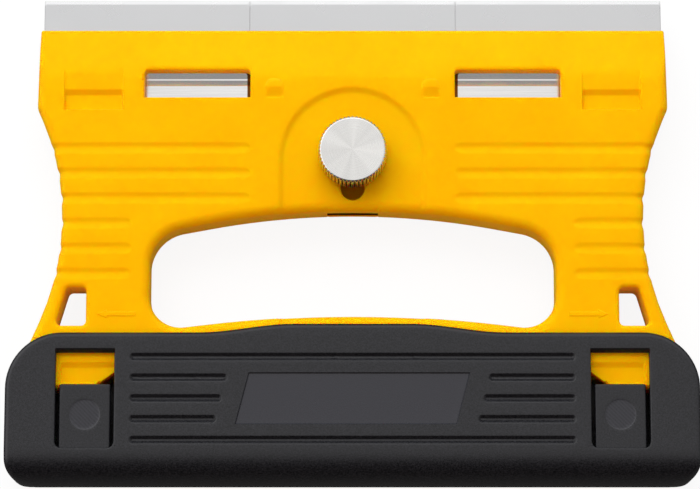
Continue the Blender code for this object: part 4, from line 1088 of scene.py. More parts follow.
def rib_paths(s, side):
    """Closed lines round the finger grooves, at shares of their half width."""
    paths = []
    turn = np.linspace(-math.pi / 2, math.pi / 2, 11)
    for setback, first, last in rib_runs(s, side):
        run = np.linspace(first + s.rib_half, last - s.rib_half, 2 + int((last - first) / LOOP_SPACING))
        for share in (1.12, 1.02, 0.9, 0.6, 0.36, 0.22):
            half = share * s.rib_half
            near = np.column_stack((run[0] - half * np.cos(turn), setback + half * np.sin(turn)))
            far = np.column_stack((run[-1] + half * np.cos(turn), setback - half * np.sin(turn)))
            lower = row_at(run[1:-1], setback + half)
            upper = row_at(run[-2:0:-1], setback - half)
            paths.append((np.vstack((near, lower, far, upper)), True))
    return paths


def cover_paths(s, side):
    """Lines of the cover's net: grooves, panel, lips, rows over the half round, and the cavity's sides."""
    paths = rib_paths(s, side)
    if side > 0:
        panel = panel_outline(s)
        for gap in np.array((-0.05, 0.05, 0.2)) * MM:
            paths.append((refine(panel + inward(panel) * gap, ROW_SPACING), True))
        paths += lip_paths(s)
    margin = 0.4 * MM
    for angle in np.linspace(0.0, math.pi / 2, 17)[:-1]:
        setback = COVER_END - COVER_HALF + COVER_HALF * math.sin(angle)
        into = max(setback - COVER_END + s.end_corner, 0.0)
        wide = COVER_WIDE - s.end_corner + math.sqrt(s.end_corner**2 - into**2) - s.edge_fillet - margin
        row = np.linspace(-wide, wide, 2 + int(wide / MM))
        paths.append((row_at(row, setback), False))
    along = np.arange(cover_edge(s) + 9 * MM, COVER_END - 3 * MM, MM)
    for gap in (-0.02 * MM, 0.02 * MM):
        paths += mirrored(column_at(-(COVER_WIDE - s.side_wall + gap), along))
    return paths


def cover_shape(s, side):
    """Half of the cover: a flat face that ends in a half round, with grooves, panel, windows and cavity."""
    raw = cover_outline(s)
    edge = np.roll(raw, -(len(raw) // 2), axis=0)
    outline = refine(raw, MM)
    windows = tongue_windows(s) if side > 0 else []
    start = COVER_END - COVER_HALF
    grid = hexagon_grid(COVER_WIDE, COVER_FRONT, start, 1.9 * MM)
    grid = grid[distance(grid, outline) > s.edge_fillet + 0.4 * MM]
    loose = [edge_rings(outline, s.edge_fillet, 6), grid]
    for window in windows:
        rings = hole_rings(window, s.window_edge, 4)
        loose.append(rings[rings[:, 1] > window[:, 1].min()])
    net = plan_net(outline, windows, cover_paths(s, side), loose)
    spots = net[0]

    into = np.clip(spots[:, 1] - start, 0.0, COVER_HALF)
    height = np.sqrt(COVER_HALF**2 - into**2)
    rounding = np.minimum(s.edge_fillet, height)
    height -= rounding / s.edge_fillet * fillet_drop(distance(spots, edge, False), s.edge_fillet)
    for setback, first, last in rib_runs(s, side):
        beyond = np.maximum(np.abs(spots[:, 0] - (first + last) / 2) - (last - first) / 2 + s.rib_half, 0.0)
        away = np.hypot(beyond, spots[:, 1] - setback)
        height -= s.rib_depth * ramp(s.rib_half - away, s.rib_wall, 0.08 * MM)
    if side > 0:
        panel = panel_outline(s)
        within = np.where(inside(spots, panel), 1.0, -1.0) * distance(spots, panel)
        height -= s.panel_depth * ramp(within, 0.15 * MM, 0.04 * MM) + lip_fall(spots, s)
    for window in windows:
        behind = spots[:, 1] > window[:, 1].min() + TOUCH
        height -= fillet_drop(distance(spots, window), s.window_edge) * behind
    hollow = COVER_HALF - s.wall
    into = np.clip(spots[:, 1] - COVER_END + COVER_HALF, 0.0, hollow)
    ceiling = np.where(np.abs(spots[:, 0]) < COVER_WIDE - s.side_wall, np.sqrt(hollow**2 - into**2), 0.0)
    thinnest = 0.5 * MM
    return slab(net, height, np.minimum(ceiling, height - thinnest).clip(0.0), side)


def tongue_shape(s, x):
    """Catch tongue: a plate with soft edges, a shallow round mark and a bead under its tip."""
    tip = cover_edge(s) + s.tongue_tip
    root = 1.2 * MM
    rear = cover_edge(s) + s.window_lead + s.window_run + root
    soft = 0.45 * MM
    bead_half = s.tongue_half - 0.3 * MM
    bead_front = tip + 0.3 * MM
    bead_run = 1.0 * MM
    bead_drop = 0.2 * MM
    bead_wall = 0.05 * MM
    bead_touch = 0.02 * MM
    outline = refine(rectangle(x, s.tongue_half, tip, rear, 0.0, 0.5 * MM), RIM_SPACING)
    paths = []
    for grow in (-0.25 * MM, -0.1 * MM, 0.05 * MM):
        paths.append((circle(x, s.mark_setback, s.mark_radius + grow, 72), True))
    for grow in (0, bead_wall):
        bead = rectangle(x, bead_half, bead_front, bead_front + bead_run, grow)
        paths.append((refine(bead, MM), True))
    grid = hexagon_grid(s.tongue_half, 0.0, rear - tip, MM) + (x, tip)
    grid = grid[inside(grid, outline)]
    grid = grid[distance(grid, outline) > soft + 0.2 * MM]
    net = plan_net(outline, [], paths, [edge_rings(outline, soft, 4), grid])
    spots = net[0]
    upper = s.tongue_base + s.tongue_thick - fillet_drop(distance(spots, outline), soft)
    away = np.hypot(spots[:, 0] - x, spots[:, 1] - s.mark_setback)
    upper -= s.mark_depth * ramp(s.mark_radius - away, 0.2 * MM, 0.04 * MM)
    beside = bead_half - np.abs(spots[:, 0] - x)
    behind = bead_run / 2 - np.abs(spots[:, 1] - bead_front - bead_run / 2)
    on_bead = np.minimum(beside, behind) > -bead_touch
    return slab(net, upper, np.where(on_bead, s.tongue_base - bead_drop, s.tongue_base), 1)


class SCRAPER_OT_cover(Operator):
    """Builds the slip-on blade cover with its catch tongues"""

    bl_idname = "scraper.cover"
    bl_label = "Blade Cover"

    def execute(self, context):
        sizes = context.scene.scraper_cover
        finish = context.scene.scraper_finish
        shades = [(panel_mask, finish.panel), (mark_mask, finish.panel)]
        plastic = moulded_plastic("Black Plastic", "black", finish, shades)
        points, faces = joined([cover_shape(sizes, side) for side in (1, -1)])
        # Faces in the middle plane lie inside the walls, where the halves meet, so they are left out
        flat = (np.abs(points[:, 2] - MIDDLE) < MM / 1000)[faces].all(axis=1)
        parts = [(points, faces[~flat])]
        parts += [tongue_shape(sizes, x) for x in (-sizes.tongue_middle, sizes.tongue_middle)]
        new_piece("slip_on_cover", "cover", ["blade_cover"], plastic, joined(parts))
        return {"FINISHED"}


# Blade carriage


def peg_circles(s, blades):
    """Holes for the tray's pegs, two for each of the given blades, counted from the middle one."""
    setback = NOSE - (BLADE_LOW.y + BLADE_HIGH.y) / 2
    places = [blade * s.blade_pitch + sign * s.peg_spacing / 2 for blade in blades for sign in (-1, 1)]
    return [circle(x, setback, s.peg_hole, 24) for x in places]


def blade_shape(s, blade):
    """Double-edged blade: a flat plate less a straight bevel at both edges and a chamfer at both ends."""
    middle = blade * s.blade_pitch
    front = NOSE - BLADE_HIGH.y
    rear = NOSE - BLADE_LOW.y
    half = s.blade_pitch / 2 - s.blade_gap / 2
    outline = refine(rectangle(middle, half, front, rear), 2.0 * MM)
    across = np.linspace(middle - half + MM / 2, middle + half - MM / 2, 24)
    along = np.linspace(front + 1.5 * MM, rear - 1.5 * MM, 12)
    paths = []
    for gap in np.array((0.5, 0.93, 1.0, 1.07)) * s.blade_bevel:
        paths += [(row_at(across, setback), False) for setback in (front + gap, rear - gap)]
    for gap in np.array((1.0, 1.3)) * s.blade_chamfer:
        paths += [(column_at(x, along), False) for x in (middle - half + gap, middle + half - gap)]
    net = plan_net(outline, peg_circles(s, [blade]), paths, [])
    x, setback = net[0].T
    top = (BLADE_HIGH.z - BLADE_LOW.z) / 2
    inner = ramp(np.minimum(setback - front, rear - setback), s.blade_bevel, 0.02 * MM)
    bevel = (top - s.blade_land) * (1.0 - inner)
    chamfer = s.blade_chamfer - np.minimum(half - np.abs(x - middle), s.blade_chamfer)
    height = np.maximum(top - bevel - chamfer, s.blade_land / 2)
    return slab(net, height, -height, 1)


def clamp_shape(s):
    """Clamp plate: a strip bent down in two ramps to the tabs, and the tail that the thumb screw passes."""
    wide = s.tab_half + s.tab_margin
    tab_corner = 0.3 * MM
    half = [
        (CLAMP_WIDE, s.clamp_inset, 0.0),
        (CLAMP_WIDE, s.clamp_rear, 0.0),
        (s.tab_middle + wide, s.clamp_rear, 0.0),
        (s.tab_middle + wide, s.tab_end, tab_corner),
        (s.tab_middle - wide, s.tab_end, tab_corner),
        (s.tab_middle - wide, s.clamp_rear, 0.0),
        (s.tail_half, s.clamp_rear, s.plate_round),
        (s.tail_half, s.tail_end, s.plate_round),
        (s.neck_half, s.tail_end, s.plate_round),
        (s.neck_half, s.neck_end, s.plate_round),
    ]
    outline = refine(rounded(both_sides(half), COARSE_ARC), LOOP_SPACING)
    holes = [circle(0.0, SCREW_SETBACK, s.washer_bore)] + peg_circles(s, (-1, 0, 1))
    plate = CLAMP_BASE + s.clamp_thick
    steps = np.cumsum((s.bend_front, s.bend_run, s.bend_ledge, s.bend_run - s.bend_ledge))
    ledge = s.bend_top - (s.bend_top - s.tab_top) / (2.0 - s.bend_ledge / s.bend_run)
    bends = np.concatenate(((s.bend_front - 2 * MM, s.bend_front - MM), steps))
    levels = (plate, s.bend_top, s.bend_top, ledge, ledge, s.tab_top)
    row = np.arange(s.tail_half + MM, CLAMP_WIDE - MM / 2, ROW_SPACING)
    paths = []
    for setback in (bends[:, None] + np.array((-0.05, 0.05)) * MM).ravel():
        paths += mirrored(row_at(-row, setback))
    net = plan_net(outline, holes, paths, [hexagon_grid(CLAMP_WIDE, s.clamp_inset, s.neck_end, 2.2 * MM)])
    spots = net[0]
    bent = (np.abs(spots[:, 0]) > s.tail_half + MM / 2) | (spots[:, 1] < s.bend_front)
    upper = np.where(bent, np.interp(spots[:, 1], bends, levels), plate)
    return slab(net, upper, np.full(len(spots), CLAMP_BASE), 1)


def dress(node, material):
    """Gives a CAD node a finish."""
    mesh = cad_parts[node].data
    mesh.materials.clear()
    mesh.materials.append(material)


class SCRAPER_OT_carriage(Operator):
    """Builds the clamp plate and finishes the blades, the tray and the nut"""

    bl_idname = "scraper.carriage"
    bl_label = "Blade Carriage"

    def execute(self, context):
        sizes = context.scene.scraper_metal
        finish = context.scene.scraper_finish
        sheet = pressed_sheet(finish)
        plate = clamp_shape(sizes)
        crease = math.radians(10.0)
        new_piece("clamp_plate", "carriage", ["blade_clamp"], sheet, plate, crease)
        dress("blade_tray", sheet)
        dress("clinch_nut", zinc_plate(finish))
        steel = ground_blade(finish)
        crease = math.radians(5.0)
        for blade, name in enumerate(("left", "centre", "right"), start=-1):
            shape = blade_shape(sizes, blade)
            new_piece("razor_" + name, "carriage", ["blade_" + name], steel, shape, crease)
        return {"FINISHED"}


# Screws


def thread_rows(bottom, top, radius, depth, pitch, steps):
    """Radii and heights of a screw thread: the radius falls from crest to root along a helix."""
    rows_per_pitch = 10
    flank = 1.3
    height = np.linspace(bottom, top, max(2, int((top - bottom) / pitch * rows_per_pitch)))
    turn = np.linspace(0.0, 1.0, steps, endpoint=False)
    phase = (height[:, None] / pitch - turn) % 1.0
    return radius - depth * np.clip(1.0 - np.abs(2.0 * phase - 1.0) * flank, 0.0, 1.0), height


def capped(radius, height):
    """Rows with a pole added at each end, so that the turned surface is closed."""
    pole = np.zeros((1, radius.shape[1]))
    return np.vstack((pole, radius, pole)), np.concatenate((height[:1], height, height[-1:]))


def knob_shape(s):
    """Knob: straight knurl teeth round the side, which run out on two chamfers, over a threaded shank."""
    top = KNOB_HIGH.z - MIDDLE
    base = top - s.knob_height
    teeth = s.knurl_teeth
    steps_per_tooth = 10
    sharpness = 0.8
    angles = np.linspace(0.0, 2 * math.pi, teeth * steps_per_tooth, endpoint=False)
    wave = 1.0 - np.abs(np.cos(angles * teeth / 2)) ** sharpness
    tip = KNOB_RADIUS
    lip = KNOB_RADIUS - s.knob_chamfer
    soft = 0.07 * MM
    rows = [
        (s.shank_radius, base, 0.0),
        (lip - 0.1 * MM, base, 0.0),
        (lip, base + soft, 0.0),
        (tip - soft, base + s.knob_chamfer - soft, 0.8),
        (tip, base + s.knob_chamfer + 2 * soft, 1.0),
        (tip, (base + top) / 2, 1.0),
        (tip, top - s.knob_chamfer - 2 * soft, 1.0),
        (tip - soft, top - s.knob_chamfer + soft, 0.8),
        (tip - s.knob_chamfer / 2, top - s.knob_chamfer / 2, 0.35),
        (lip + soft, top - soft, 0.0),
        (lip - soft, top, 0.0),
        (lip - 4 * soft, top, 0.0),
        (lip * 0.8, top, 0.0),
        (lip * 0.5, top, 0.0),
        (lip * 0.2, top, 0.0),
    ]
    profile = np.array(rows)
    radius = profile[:, :1] - profile[:, 2:] * s.knurl_depth * wave
    head = turned(*capped(radius, profile[:, 1]), 0.0, SCREW_SETBACK)
    bottom = KNOB_LOW.z - MIDDLE
    radius, height = thread_rows(bottom, base + soft, s.shank_radius, s.thread_depth, s.thread_pitch, 48)
    shank = turned(*capped(radius, height), 0.0, SCREW_SETBACK)
    return joined([head, shank])


def washer_shape(s):
    """Flat washer with soft edges."""
    low = WASHER_LOW.z - MIDDLE
    high = WASHER_HIGH.z - MIDDLE
    outer = (WASHER_HIGH.x - WASHER_LOW.x) / 2
    soft = 0.15 * MM
    rows = [
        (s.washer_bore, low),
        (outer - soft, low),
        (outer, low + soft),
        (outer, high - soft),
        (outer - soft, high),
        (s.washer_bore + soft, high),
        (s.washer_bore, high - soft),
        (s.washer_bore, low),
    ]
    profile = np.array(rows)
    return turned(np.repeat(profile[:, :1], 72, axis=1), profile[:, 1], 0.0, SCREW_SETBACK)


class SCRAPER_OT_thumb_screw(Operator):
    """Builds the knurled thumb screw and its washer"""

    bl_idname = "scraper.thumb_screw"
    bl_label = "Thumb Screw"

    def execute(self, context):
        sizes = context.scene.scraper_metal
        finish = context.scene.scraper_finish
        steel = turned_steel(finish)
        new_piece("knurled_knob", "screw", ["thumb_screw"], steel, knob_shape(sizes))
        zinc = zinc_plate(finish)
        new_piece("screw_washer", "washer", ["flat_washer"], zinc, washer_shape(sizes))
        return {"FINISHED"}


def pan_screw_shape(s, low, high):
    """Pan-head tapping screw seen from the back: a domed head with a cross recess over a coarse thread."""
    x = (low.x + high.x) / 2
    setback = NOSE - (low.y + high.y) / 2
    crown = MIDDLE - low.z
    seat = crown - s.head_height
    steps = 120
    angles = np.linspace(0.0, 2 * math.pi, steps, endpoint=False)
    reach = s.head_radius * np.sin(np.linspace(math.pi / 2, 0.02, 40))[:, None] * np.ones(steps)
    dome_share = 0.55
    dome = crown - s.head_height * dome_share * (reach / s.head_radius) ** 3
    arms = np.abs(reach * np.cos(angles)), np.abs(reach * np.sin(angles))
    cut = ramp(s.recess_half - np.minimum(*arms), 0.15 * MM, 0.03 * MM)
    cut *= ramp(s.recess_reach - np.maximum(*arms), 0.9 * MM, 0.05 * MM)
    dome -= s.recess_depth * cut
    flank = np.full((1, steps), s.head_radius)
    pole = np.zeros((1, steps))
    radius = np.vstack((pole, flank * s.screw_radius / s.head_radius, flank, reach, pole))
    height = np.vstack((np.full((3, steps), seat), dome, np.full((1, steps), dome[-1].mean())))
    head = turned(radius, height, x, setback, -1)
    bottom = -(high.z - MIDDLE)
    thread_depth = 0.3 * MM
    radius, rows = thread_rows(bottom, seat, s.screw_radius, thread_depth, s.screw_pitch, 36)
    taper = np.clip((rows - bottom) / (2 * s.screw_radius), 0.25, 1.0)
    shank = turned(*capped(radius * taper[:, None], rows), x, setback, -1)
    return joined([head, shank])


class SCRAPER_OT_shell_screws(Operator):
    """Builds the screws that join the shells from the back"""

    bl_idname = "scraper.shell_screws"
    bl_label = "Shell Screws"

    def execute(self, context):
        sizes = context.scene.scraper_metal
        zinc = zinc_plate(context.scene.scraper_finish)
        for number, node in enumerate(SHELL_SCREWS, start=1):
            shape = pan_screw_shape(sizes, *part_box(node))
            new_piece(f"pan_screw_{number}", "handle", [node], zinc, shape)
        return {"FINISHED"}


# Finishes


def add_node(tree, kind, inputs=None, **settings):
    """Node with settings and with inputs that are values or linked sockets."""
    node = tree.nodes.new(kind)
    for key, value in settings.items():
        setattr(node, key, value)
    for key, value in (inputs or {}).items():
        if isinstance(value, bpy.types.NodeSocket):
            tree.links.new(value, node.inputs[key])
        else:
            node.inputs[key].default_value = value
    return node


def new_group(name, inputs, outputs):
    """Empty shader group with float inputs and outputs, and its input and output nodes."""
    tree = bpy.data.node_groups.new(name, "ShaderNodeTree")
    for socket, value in inputs.items():
        made = tree.interface.new_socket(socket, in_out="INPUT", socket_type="NodeSocketFloat")
        made.default_value = value
    for socket in outputs:
        tree.interface.new_socket(socket, in_out="OUTPUT", socket_type="NodeSocketFloat")
    return tree, add_node(tree, "NodeGroupInput"), add_node(tree, "NodeGroupOutput")


def object_place(tree):
    """Socket of the object coordinates."""
    return add_node(tree, "ShaderNodeTexCoord").outputs["Object"]


def math_node(tree, operation, *values):
    """Socket of a math node's result."""
    return add_node(tree, "ShaderNodeMath", dict(enumerate(values)), operation=operation).outputs[0]


def vector_node(tree, operation, *values):
    """Socket of a vector math node's result, which for a length is a number."""
    node = add_node(tree, "ShaderNodeVectorMath", dict(enumerate(values)), operation=operation)
    return node.outputs["Value" if operation == "LENGTH" else "Vector"]


def noise(tree, place, scale, detail=2.0, roughness=0.5):
    """Socket of a noise texture's value."""
    inputs = {"Vector": place, "Scale": scale, "Detail": detail, "Roughness": roughness}
    return add_node(tree, "ShaderNodeTexNoise", inputs).outputs["Fac"]


def moulded_grain():
    """Group: the fine spark-eroded grain of a mould, with broad soft patches of tone."""
    if "Moulded Grain" in bpy.data.node_groups:
        return bpy.data.node_groups["Moulded Grain"]
    inputs = {"Grain per Metre": 4000.0, "Patches per Metre": 60.0}
    tree, start, end = new_group("Moulded Grain", inputs, ["Grain", "Patch"])
    place = object_place(tree)
    tree.links.new(noise(tree, place, start.outputs["Grain per Metre"], 3.0, 0.6), end.inputs["Grain"])
    tree.links.new(noise(tree, place, start.outputs["Patches per Metre"]), end.inputs["Patch"])
    return tree


def brushed_grain():
    """Group: streaks along X, as a belt leaves on sheet metal, and soft cloudy patches."""
    if "Brushed Grain" in bpy.data.node_groups:
        return bpy.data.node_groups["Brushed Grain"]
    inputs = {"Streaks per Metre": 5000.0, "Stretch": 0.02, "Clouds per Metre": 90.0}
    tree, start, end = new_group("Brushed Grain", inputs, ["Streak", "Cloud"])
    place = object_place(tree)
    squeeze = add_node(tree, "ShaderNodeCombineXYZ", {"X": start.outputs["Stretch"], "Y": 1.0, "Z": 1.0})
    along = vector_node(tree, "MULTIPLY", place, squeeze.outputs[0])
    tree.links.new(noise(tree, along, start.outputs["Streaks per Metre"], 3.0), end.inputs["Streak"])
    tree.links.new(noise(tree, place, start.outputs["Clouds per Metre"], 3.0), end.inputs["Cloud"])
    return tree


def new_finish(name, metallic, specular, roughness):
    """Material with a Principled shader and its plain settings."""
    material = bpy.data.materials.new(name)
    material.use_nodes = True
    shader = material.node_tree.nodes["Principled BSDF"]
    shader.inputs["Metallic"].default_value = metallic
    shader.inputs["Specular IOR Level"].default_value = specular
    shader.inputs["Roughness"].default_value = roughness
    return material, material.node_tree, shader


def remap(tree, value, low, high, first=0.35, last=0.65):
    """Socket with a value's range between first and last carried to low and high."""
    inputs = {"Value": value, "From Min": first, "From Max": last, "To Min": low, "To Max": high}
    return add_node(tree, "ShaderNodeMapRange", inputs).outputs["Result"]


def bump_from(tree, shader, height, depth):
    """Feeds the shader's normal with a bump of a given depth."""
    bump = add_node(tree, "ShaderNodeBump", {"Height": height, "Distance": depth, "Strength": 1.0})
    tree.links.new(bump.outputs["Normal"], shader.inputs["Normal"])


def mix_colours(tree, share, first, last):
    """Socket of a colour between two, each a socket or three values."""
    ends = [end if isinstance(end, bpy.types.NodeSocket) else (*end, 1.0) for end in (first, last)]
    return add_node(tree, "ShaderNodeMix", {0: share, 6: ends[0], 7: ends[1]}, data_type="RGBA").outputs[2]


def box_mask(tree, middle, half, lean=0.0):
    """Socket that is 1 inside a box in object coordinates, whose X leans along Y, and 0 outside it."""
    offset = vector_node(tree, "SUBTRACT", object_place(tree), middle)
    axes = add_node(tree, "ShaderNodeSeparateXYZ", {"Vector": offset}).outputs
    x = math_node(tree, "MULTIPLY_ADD", axes["Y"], -lean, axes["X"])
    within = 1.0
    for value, limit in zip((x, axes["Y"], axes["Z"]), half):
        near = math_node(tree, "LESS_THAN", math_node(tree, "ABSOLUTE", value), limit)
        within = math_node(tree, "MULTIPLY", near, within)
    return within


def track_shade_mask(tree):
    """Socket that marks the walls of the carriage's narrow track inside the shells, where shade is painted.
    """
    middle = (0.0, NOSE - 32.7 * MM, MIDDLE + 0.2 * MM)
    half = (6.4 * MM, 12.7 * MM, 1.95 * MM)
    return box_mask(tree, middle, half)


def panel_mask(tree):
    """Socket that marks the sunk panel, which is smoother than the rest of the cover."""
    s = bpy.context.scene.scraper_cover
    front, rear = panel_outline(s)[[0, 2], 1]
    middle = (0.0, NOSE - (front + rear) / 2, MIDDLE + COVER_HALF)
    return box_mask(tree, middle, (s.panel_half, s.panel_height / 2, MM), s.panel_slant / s.panel_height)


def mark_mask(tree):
    """Socket that hatches the round mark on each catch tongue."""
    s = bpy.context.scene.scraper_cover
    place = object_place(tree)
    middle = (s.tongue_middle, s.mark_setback - NOSE, MIDDLE + COVER_HALF - MM)
    offset = vector_node(tree, "SUBTRACT", vector_node(tree, "ABSOLUTE", place), middle)
    near = math_node(tree, "LESS_THAN", vector_node(tree, "LENGTH", offset), s.mark_radius)
    lines = {"Vector": place, "Scale": 640.0}
    hatch = add_node(tree, "ShaderNodeTexWave", lines, bands_direction="DIAGONAL").outputs["Fac"]
    return math_node(tree, "MULTIPLY", near, remap(tree, hatch, 0.4, 1.0, 0.0, 1.0))


def moulded_plastic(name, tone, finish, shades):
    """Satin moulded plastic: fine grain in tone, gloss and bump, with masked places of another colour, some
    of them painted shade.
    """
    black = tone == "black"
    specular = 0.45 if black else 0.15
    roughness = (0.32, 0.42) if black else (0.36, 0.46)
    bump = 0.03 * MM if black else 0.012 * MM
    material, tree, shader = new_finish(name, 0.0, specular, 0.5)
    if not black:
        shader.inputs["Specular Tint"].default_value = (1.0, 0.62, 0.02, 1.0)
        shader.inputs["Subsurface Weight"].default_value = 1.0
        shader.inputs["Subsurface Radius"].default_value = (1.0, 0.03, 0.005)
        shader.inputs["Subsurface Scale"].default_value = 1.8 * MM
    scale = {"Grain per Metre": 2600.0 if black else 4200.0}
    grain = add_node(tree, "ShaderNodeGroup", scale, node_tree=moulded_grain())
    share = remap(tree, grain.outputs["Grain" if black else "Patch"], 0.0, 1.0)
    colour = mix_colours(tree, share, getattr(finish, tone), getattr(finish, tone + "_pale"))
    for mask, shade in shades:
        colour = mix_colours(tree, mask(tree), colour, shade)
    tree.links.new(colour, shader.inputs["Base Color"])
    tree.links.new(remap(tree, grain.outputs["Grain"], *roughness), shader.inputs["Roughness"])
    bump_from(tree, shader, grain.outputs["Grain"], bump)
    return material


def ground_blade(finish):
    """Ground blade steel: streaks along the edge, cloudy gloss and bright honed bevels."""
    material, tree, shader = new_finish("Blade Steel", 1.0, 0.5, 0.3)
    grain = add_node(tree, "ShaderNodeGroup", node_tree=brushed_grain())
    along = add_node(tree, "ShaderNodeSeparateXYZ", {"Vector": object_place(tree)}).outputs["Y"]
    bevel = remap(tree, along, 0.0, 1.0, BLADE_HIGH.y - 1.1 * MM, BLADE_HIGH.y - 0.9 * MM)
    tree.links.new(mix_colours(tree, bevel, finish.blade, finish.bevel), shader.inputs["Base Color"])
    tree.links.new(remap(tree, grain.outputs["Cloud"], 0.26, 0.36), shader.inputs["Roughness"])
    bump_from(tree, shader, grain.outputs["Streak"], 0.003 * MM)
    return material


def margin_shade_mask(tree):
    """Socket that marks the margin round the two tabs, whose corners are round, where shade is painted."""
    s = bpy.context.scene.scraper_metal
    corner = 0.9 * MM
    half = (s.tab_end - s.bend_front) / 2 + MM
    middle = (s.tab_middle, NOSE - s.bend_front - half, 0.0)
    flat = (s.tab_half - corner, half - corner, 1.0)
    offset = vector_node(tree, "SUBTRACT", vector_node(tree, "ABSOLUTE", object_place(tree)), middle)
    offset = vector_node(tree, "SUBTRACT", vector_node(tree, "ABSOLUTE", offset), flat)
    away = vector_node(tree, "LENGTH", vector_node(tree, "MAXIMUM", offset, (0.0, 0.0, 0.0)))
    outside = math_node(tree, "GREATER_THAN", away, corner)
    return math_node(tree, "MULTIPLY", outside, math_node(tree, "LESS_THAN", away, corner + s.tab_margin))


def pressed_sheet(finish):
    """Bright rolled sheet with faint rolling streaks and painted shade in the margin round the tabs."""
    material, tree, shader = new_finish("Pressed Sheet", 1.0, 0.5, 0.25)
    grain = add_node(tree, "ShaderNodeGroup", {"Streaks per Metre": 3200.0}, node_tree=brushed_grain())
    share = remap(tree, grain.outputs["Streak"], 0.0, 1.0)
    colour = mix_colours(tree, share, [value * 0.94 for value in finish.sheet], finish.sheet)
    # Painted shade in the margin round the tabs
    colour = mix_colours(tree, margin_shade_mask(tree), colour, finish.tab_margin_shade)
    tree.links.new(colour, shader.inputs["Base Color"])
    tree.links.new(remap(tree, grain.outputs["Cloud"], 0.13, 0.2), shader.inputs["Roughness"])
    bump_from(tree, shader, grain.outputs["Streak"], 0.002 * MM)
    return material


def turned_steel(finish):
    """Turned steel: fine rings round the screw's axis, faint sectors of tone that are painted sheen, and
    painted shade in the knurl roots.
    """
    material, tree, shader = new_finish("Turned Steel", 1.0, 0.5, 0.28)
    centre = {"Vector": object_place(tree), "Location": (0.0, SCREW_SETBACK - NOSE, 0.0)}
    centre = add_node(tree, "ShaderNodeMapping", centre).outputs["Vector"]
    height = add_node(tree, "ShaderNodeSeparateXYZ", {"Vector": centre}).outputs["Z"]
    flat = vector_node(tree, "MULTIPLY", centre, (1.0, 1.0, 0.0))
    radius = vector_node(tree, "LENGTH", flat)
    rings = {"W": radius, "Scale": 2600.0, "Detail": 2.0}
    rings = add_node(tree, "ShaderNodeTexNoise", rings, noise_dimensions="1D").outputs["Fac"]
    # Painted sheen: broad sectors round the axis, lighter and darker, stand in for the spun face's
    # highlights
    sheen_sector = noise(tree, vector_node(tree, "NORMALIZE", flat), 1.6, 1.0)
    tone = math_node(tree, "MULTIPLY_ADD", rings, 0.3, sheen_sector)
    dull = [value * 0.86 for value in finish.turned]
    colour = mix_colours(tree, remap(tree, tone, 0.0, 1.0, 0.45, 0.85), dull, finish.turned)
    # Painted shade in the knurl's roots and on the knob below its top rim
    root = remap(tree, radius, 1.0, 0.0, KNOB_RADIUS - 0.3 * MM, KNOB_RADIUS - 0.08 * MM)
    side = remap(tree, height, 1.0, 0.0, KNOB_HIGH.z - 0.6 * MM, KNOB_HIGH.z - 0.5 * MM)
    colour = mix_colours(tree, math_node(tree, "MULTIPLY", root, side), colour, finish.knurl_shade)
    tree.links.new(colour, shader.inputs["Base Color"])
    tree.links.new(remap(tree, rings, 0.2, 0.3), shader.inputs["Roughness"])
    bump_from(tree, shader, rings, 0.008 * MM)
    return material


def zinc_plate(finish):
    """Zinc plate: dull cloudy steel."""
    if "Zinc Plate" in bpy.data.materials:
        return bpy.data.materials["Zinc Plate"]
    material, tree, shader = new_finish("Zinc Plate", 1.0, 0.5, 0.4)
    grain = add_node(tree, "ShaderNodeGroup", {"Patches per Metre": 700.0}, node_tree=moulded_grain())
    share = remap(tree, grain.outputs["Patch"], 0.0, 1.0)
    dull = [value * 0.75 for value in finish.zinc]
    tree.links.new(mix_colours(tree, share, dull, finish.zinc), shader.inputs["Base Color"])
    tree.links.new(remap(tree, grain.outputs["Grain"], 0.32, 0.46), shader.inputs["Roughness"])
    bump_from(tree, shader, grain.outputs["Grain"], 0.006 * MM)
    return material


# Stage


def add_lamp(name, power, size, place):
    """Large soft area lamp that points at the origin."""
    lamp = bpy.data.lights.new(name, "AREA")
    lamp.energy = power
    lamp.shape = "RECTANGLE"
    lamp.size, lamp.size_y = size
    obj = bpy.data.objects.new(name, lamp)
    obj.location = place
    obj.rotation_euler = (-Vector(place)).to_track_quat("-Z", "Y").to_euler()
    obj.visible_glossy = False
    bpy.context.scene.collection.objects.link(obj)


def seen_rays(tree):
    """Outputs of a light path node, and a socket that is 1 on the rays that the camera sees."""
    path = add_node(tree, "ShaderNodeLightPath").outputs
    return path, math_node(tree, "MAXIMUM", path["Is Camera Ray"], path["Is Transmission Ray"])


def pale_floor(s):
    """Pale floor that the camera sees as near white, with the part's shadow on it."""
    half = s.floor_half
    mesh = bpy.data.meshes.new("studio_floor")
    corners = [(x * half, y * half, -s.floor_gap) for x, y in ((-1, -1), (1, -1), (1, 1), (-1, 1))]
    mesh.from_pydata(corners, [], [(0, 1, 2, 3)])
    material, tree, shader = new_finish("Studio Floor", 0.0, 0.0, 0.5)
    path, seen = seen_rays(tree)
    lit = 0.5
    reflected = 0.1
    shade = math_node(tree, "MULTIPLY_ADD", path["Is Glossy Ray"], reflected - lit, lit)
    tree.links.new(math_node(tree, "MAXIMUM", shade, seen), shader.inputs["Base Color"])
    glow = add_node(tree, "ShaderNodeEmission", {"Color": (1.0, 1.0, 1.0, 1.0), "Strength": 1.0})
    seen_glow = 0.9
    reflected_glow = 0.05
    share = math_node(tree, "MULTIPLY", path["Is Glossy Ray"], reflected_glow)
    share = math_node(tree, "MULTIPLY_ADD", seen, seen_glow, share)
    mix = add_node(tree, "ShaderNodeMixShader", {0: share, 1: shader.outputs[0], 2: glow.outputs[0]})
    tree.links.new(mix.outputs[0], tree.nodes["Material Output"].inputs["Surface"])
    mesh.materials.append(material)
    floor = bpy.data.objects.new("studio_floor", mesh)
    bpy.context.scene.collection.objects.link(floor)


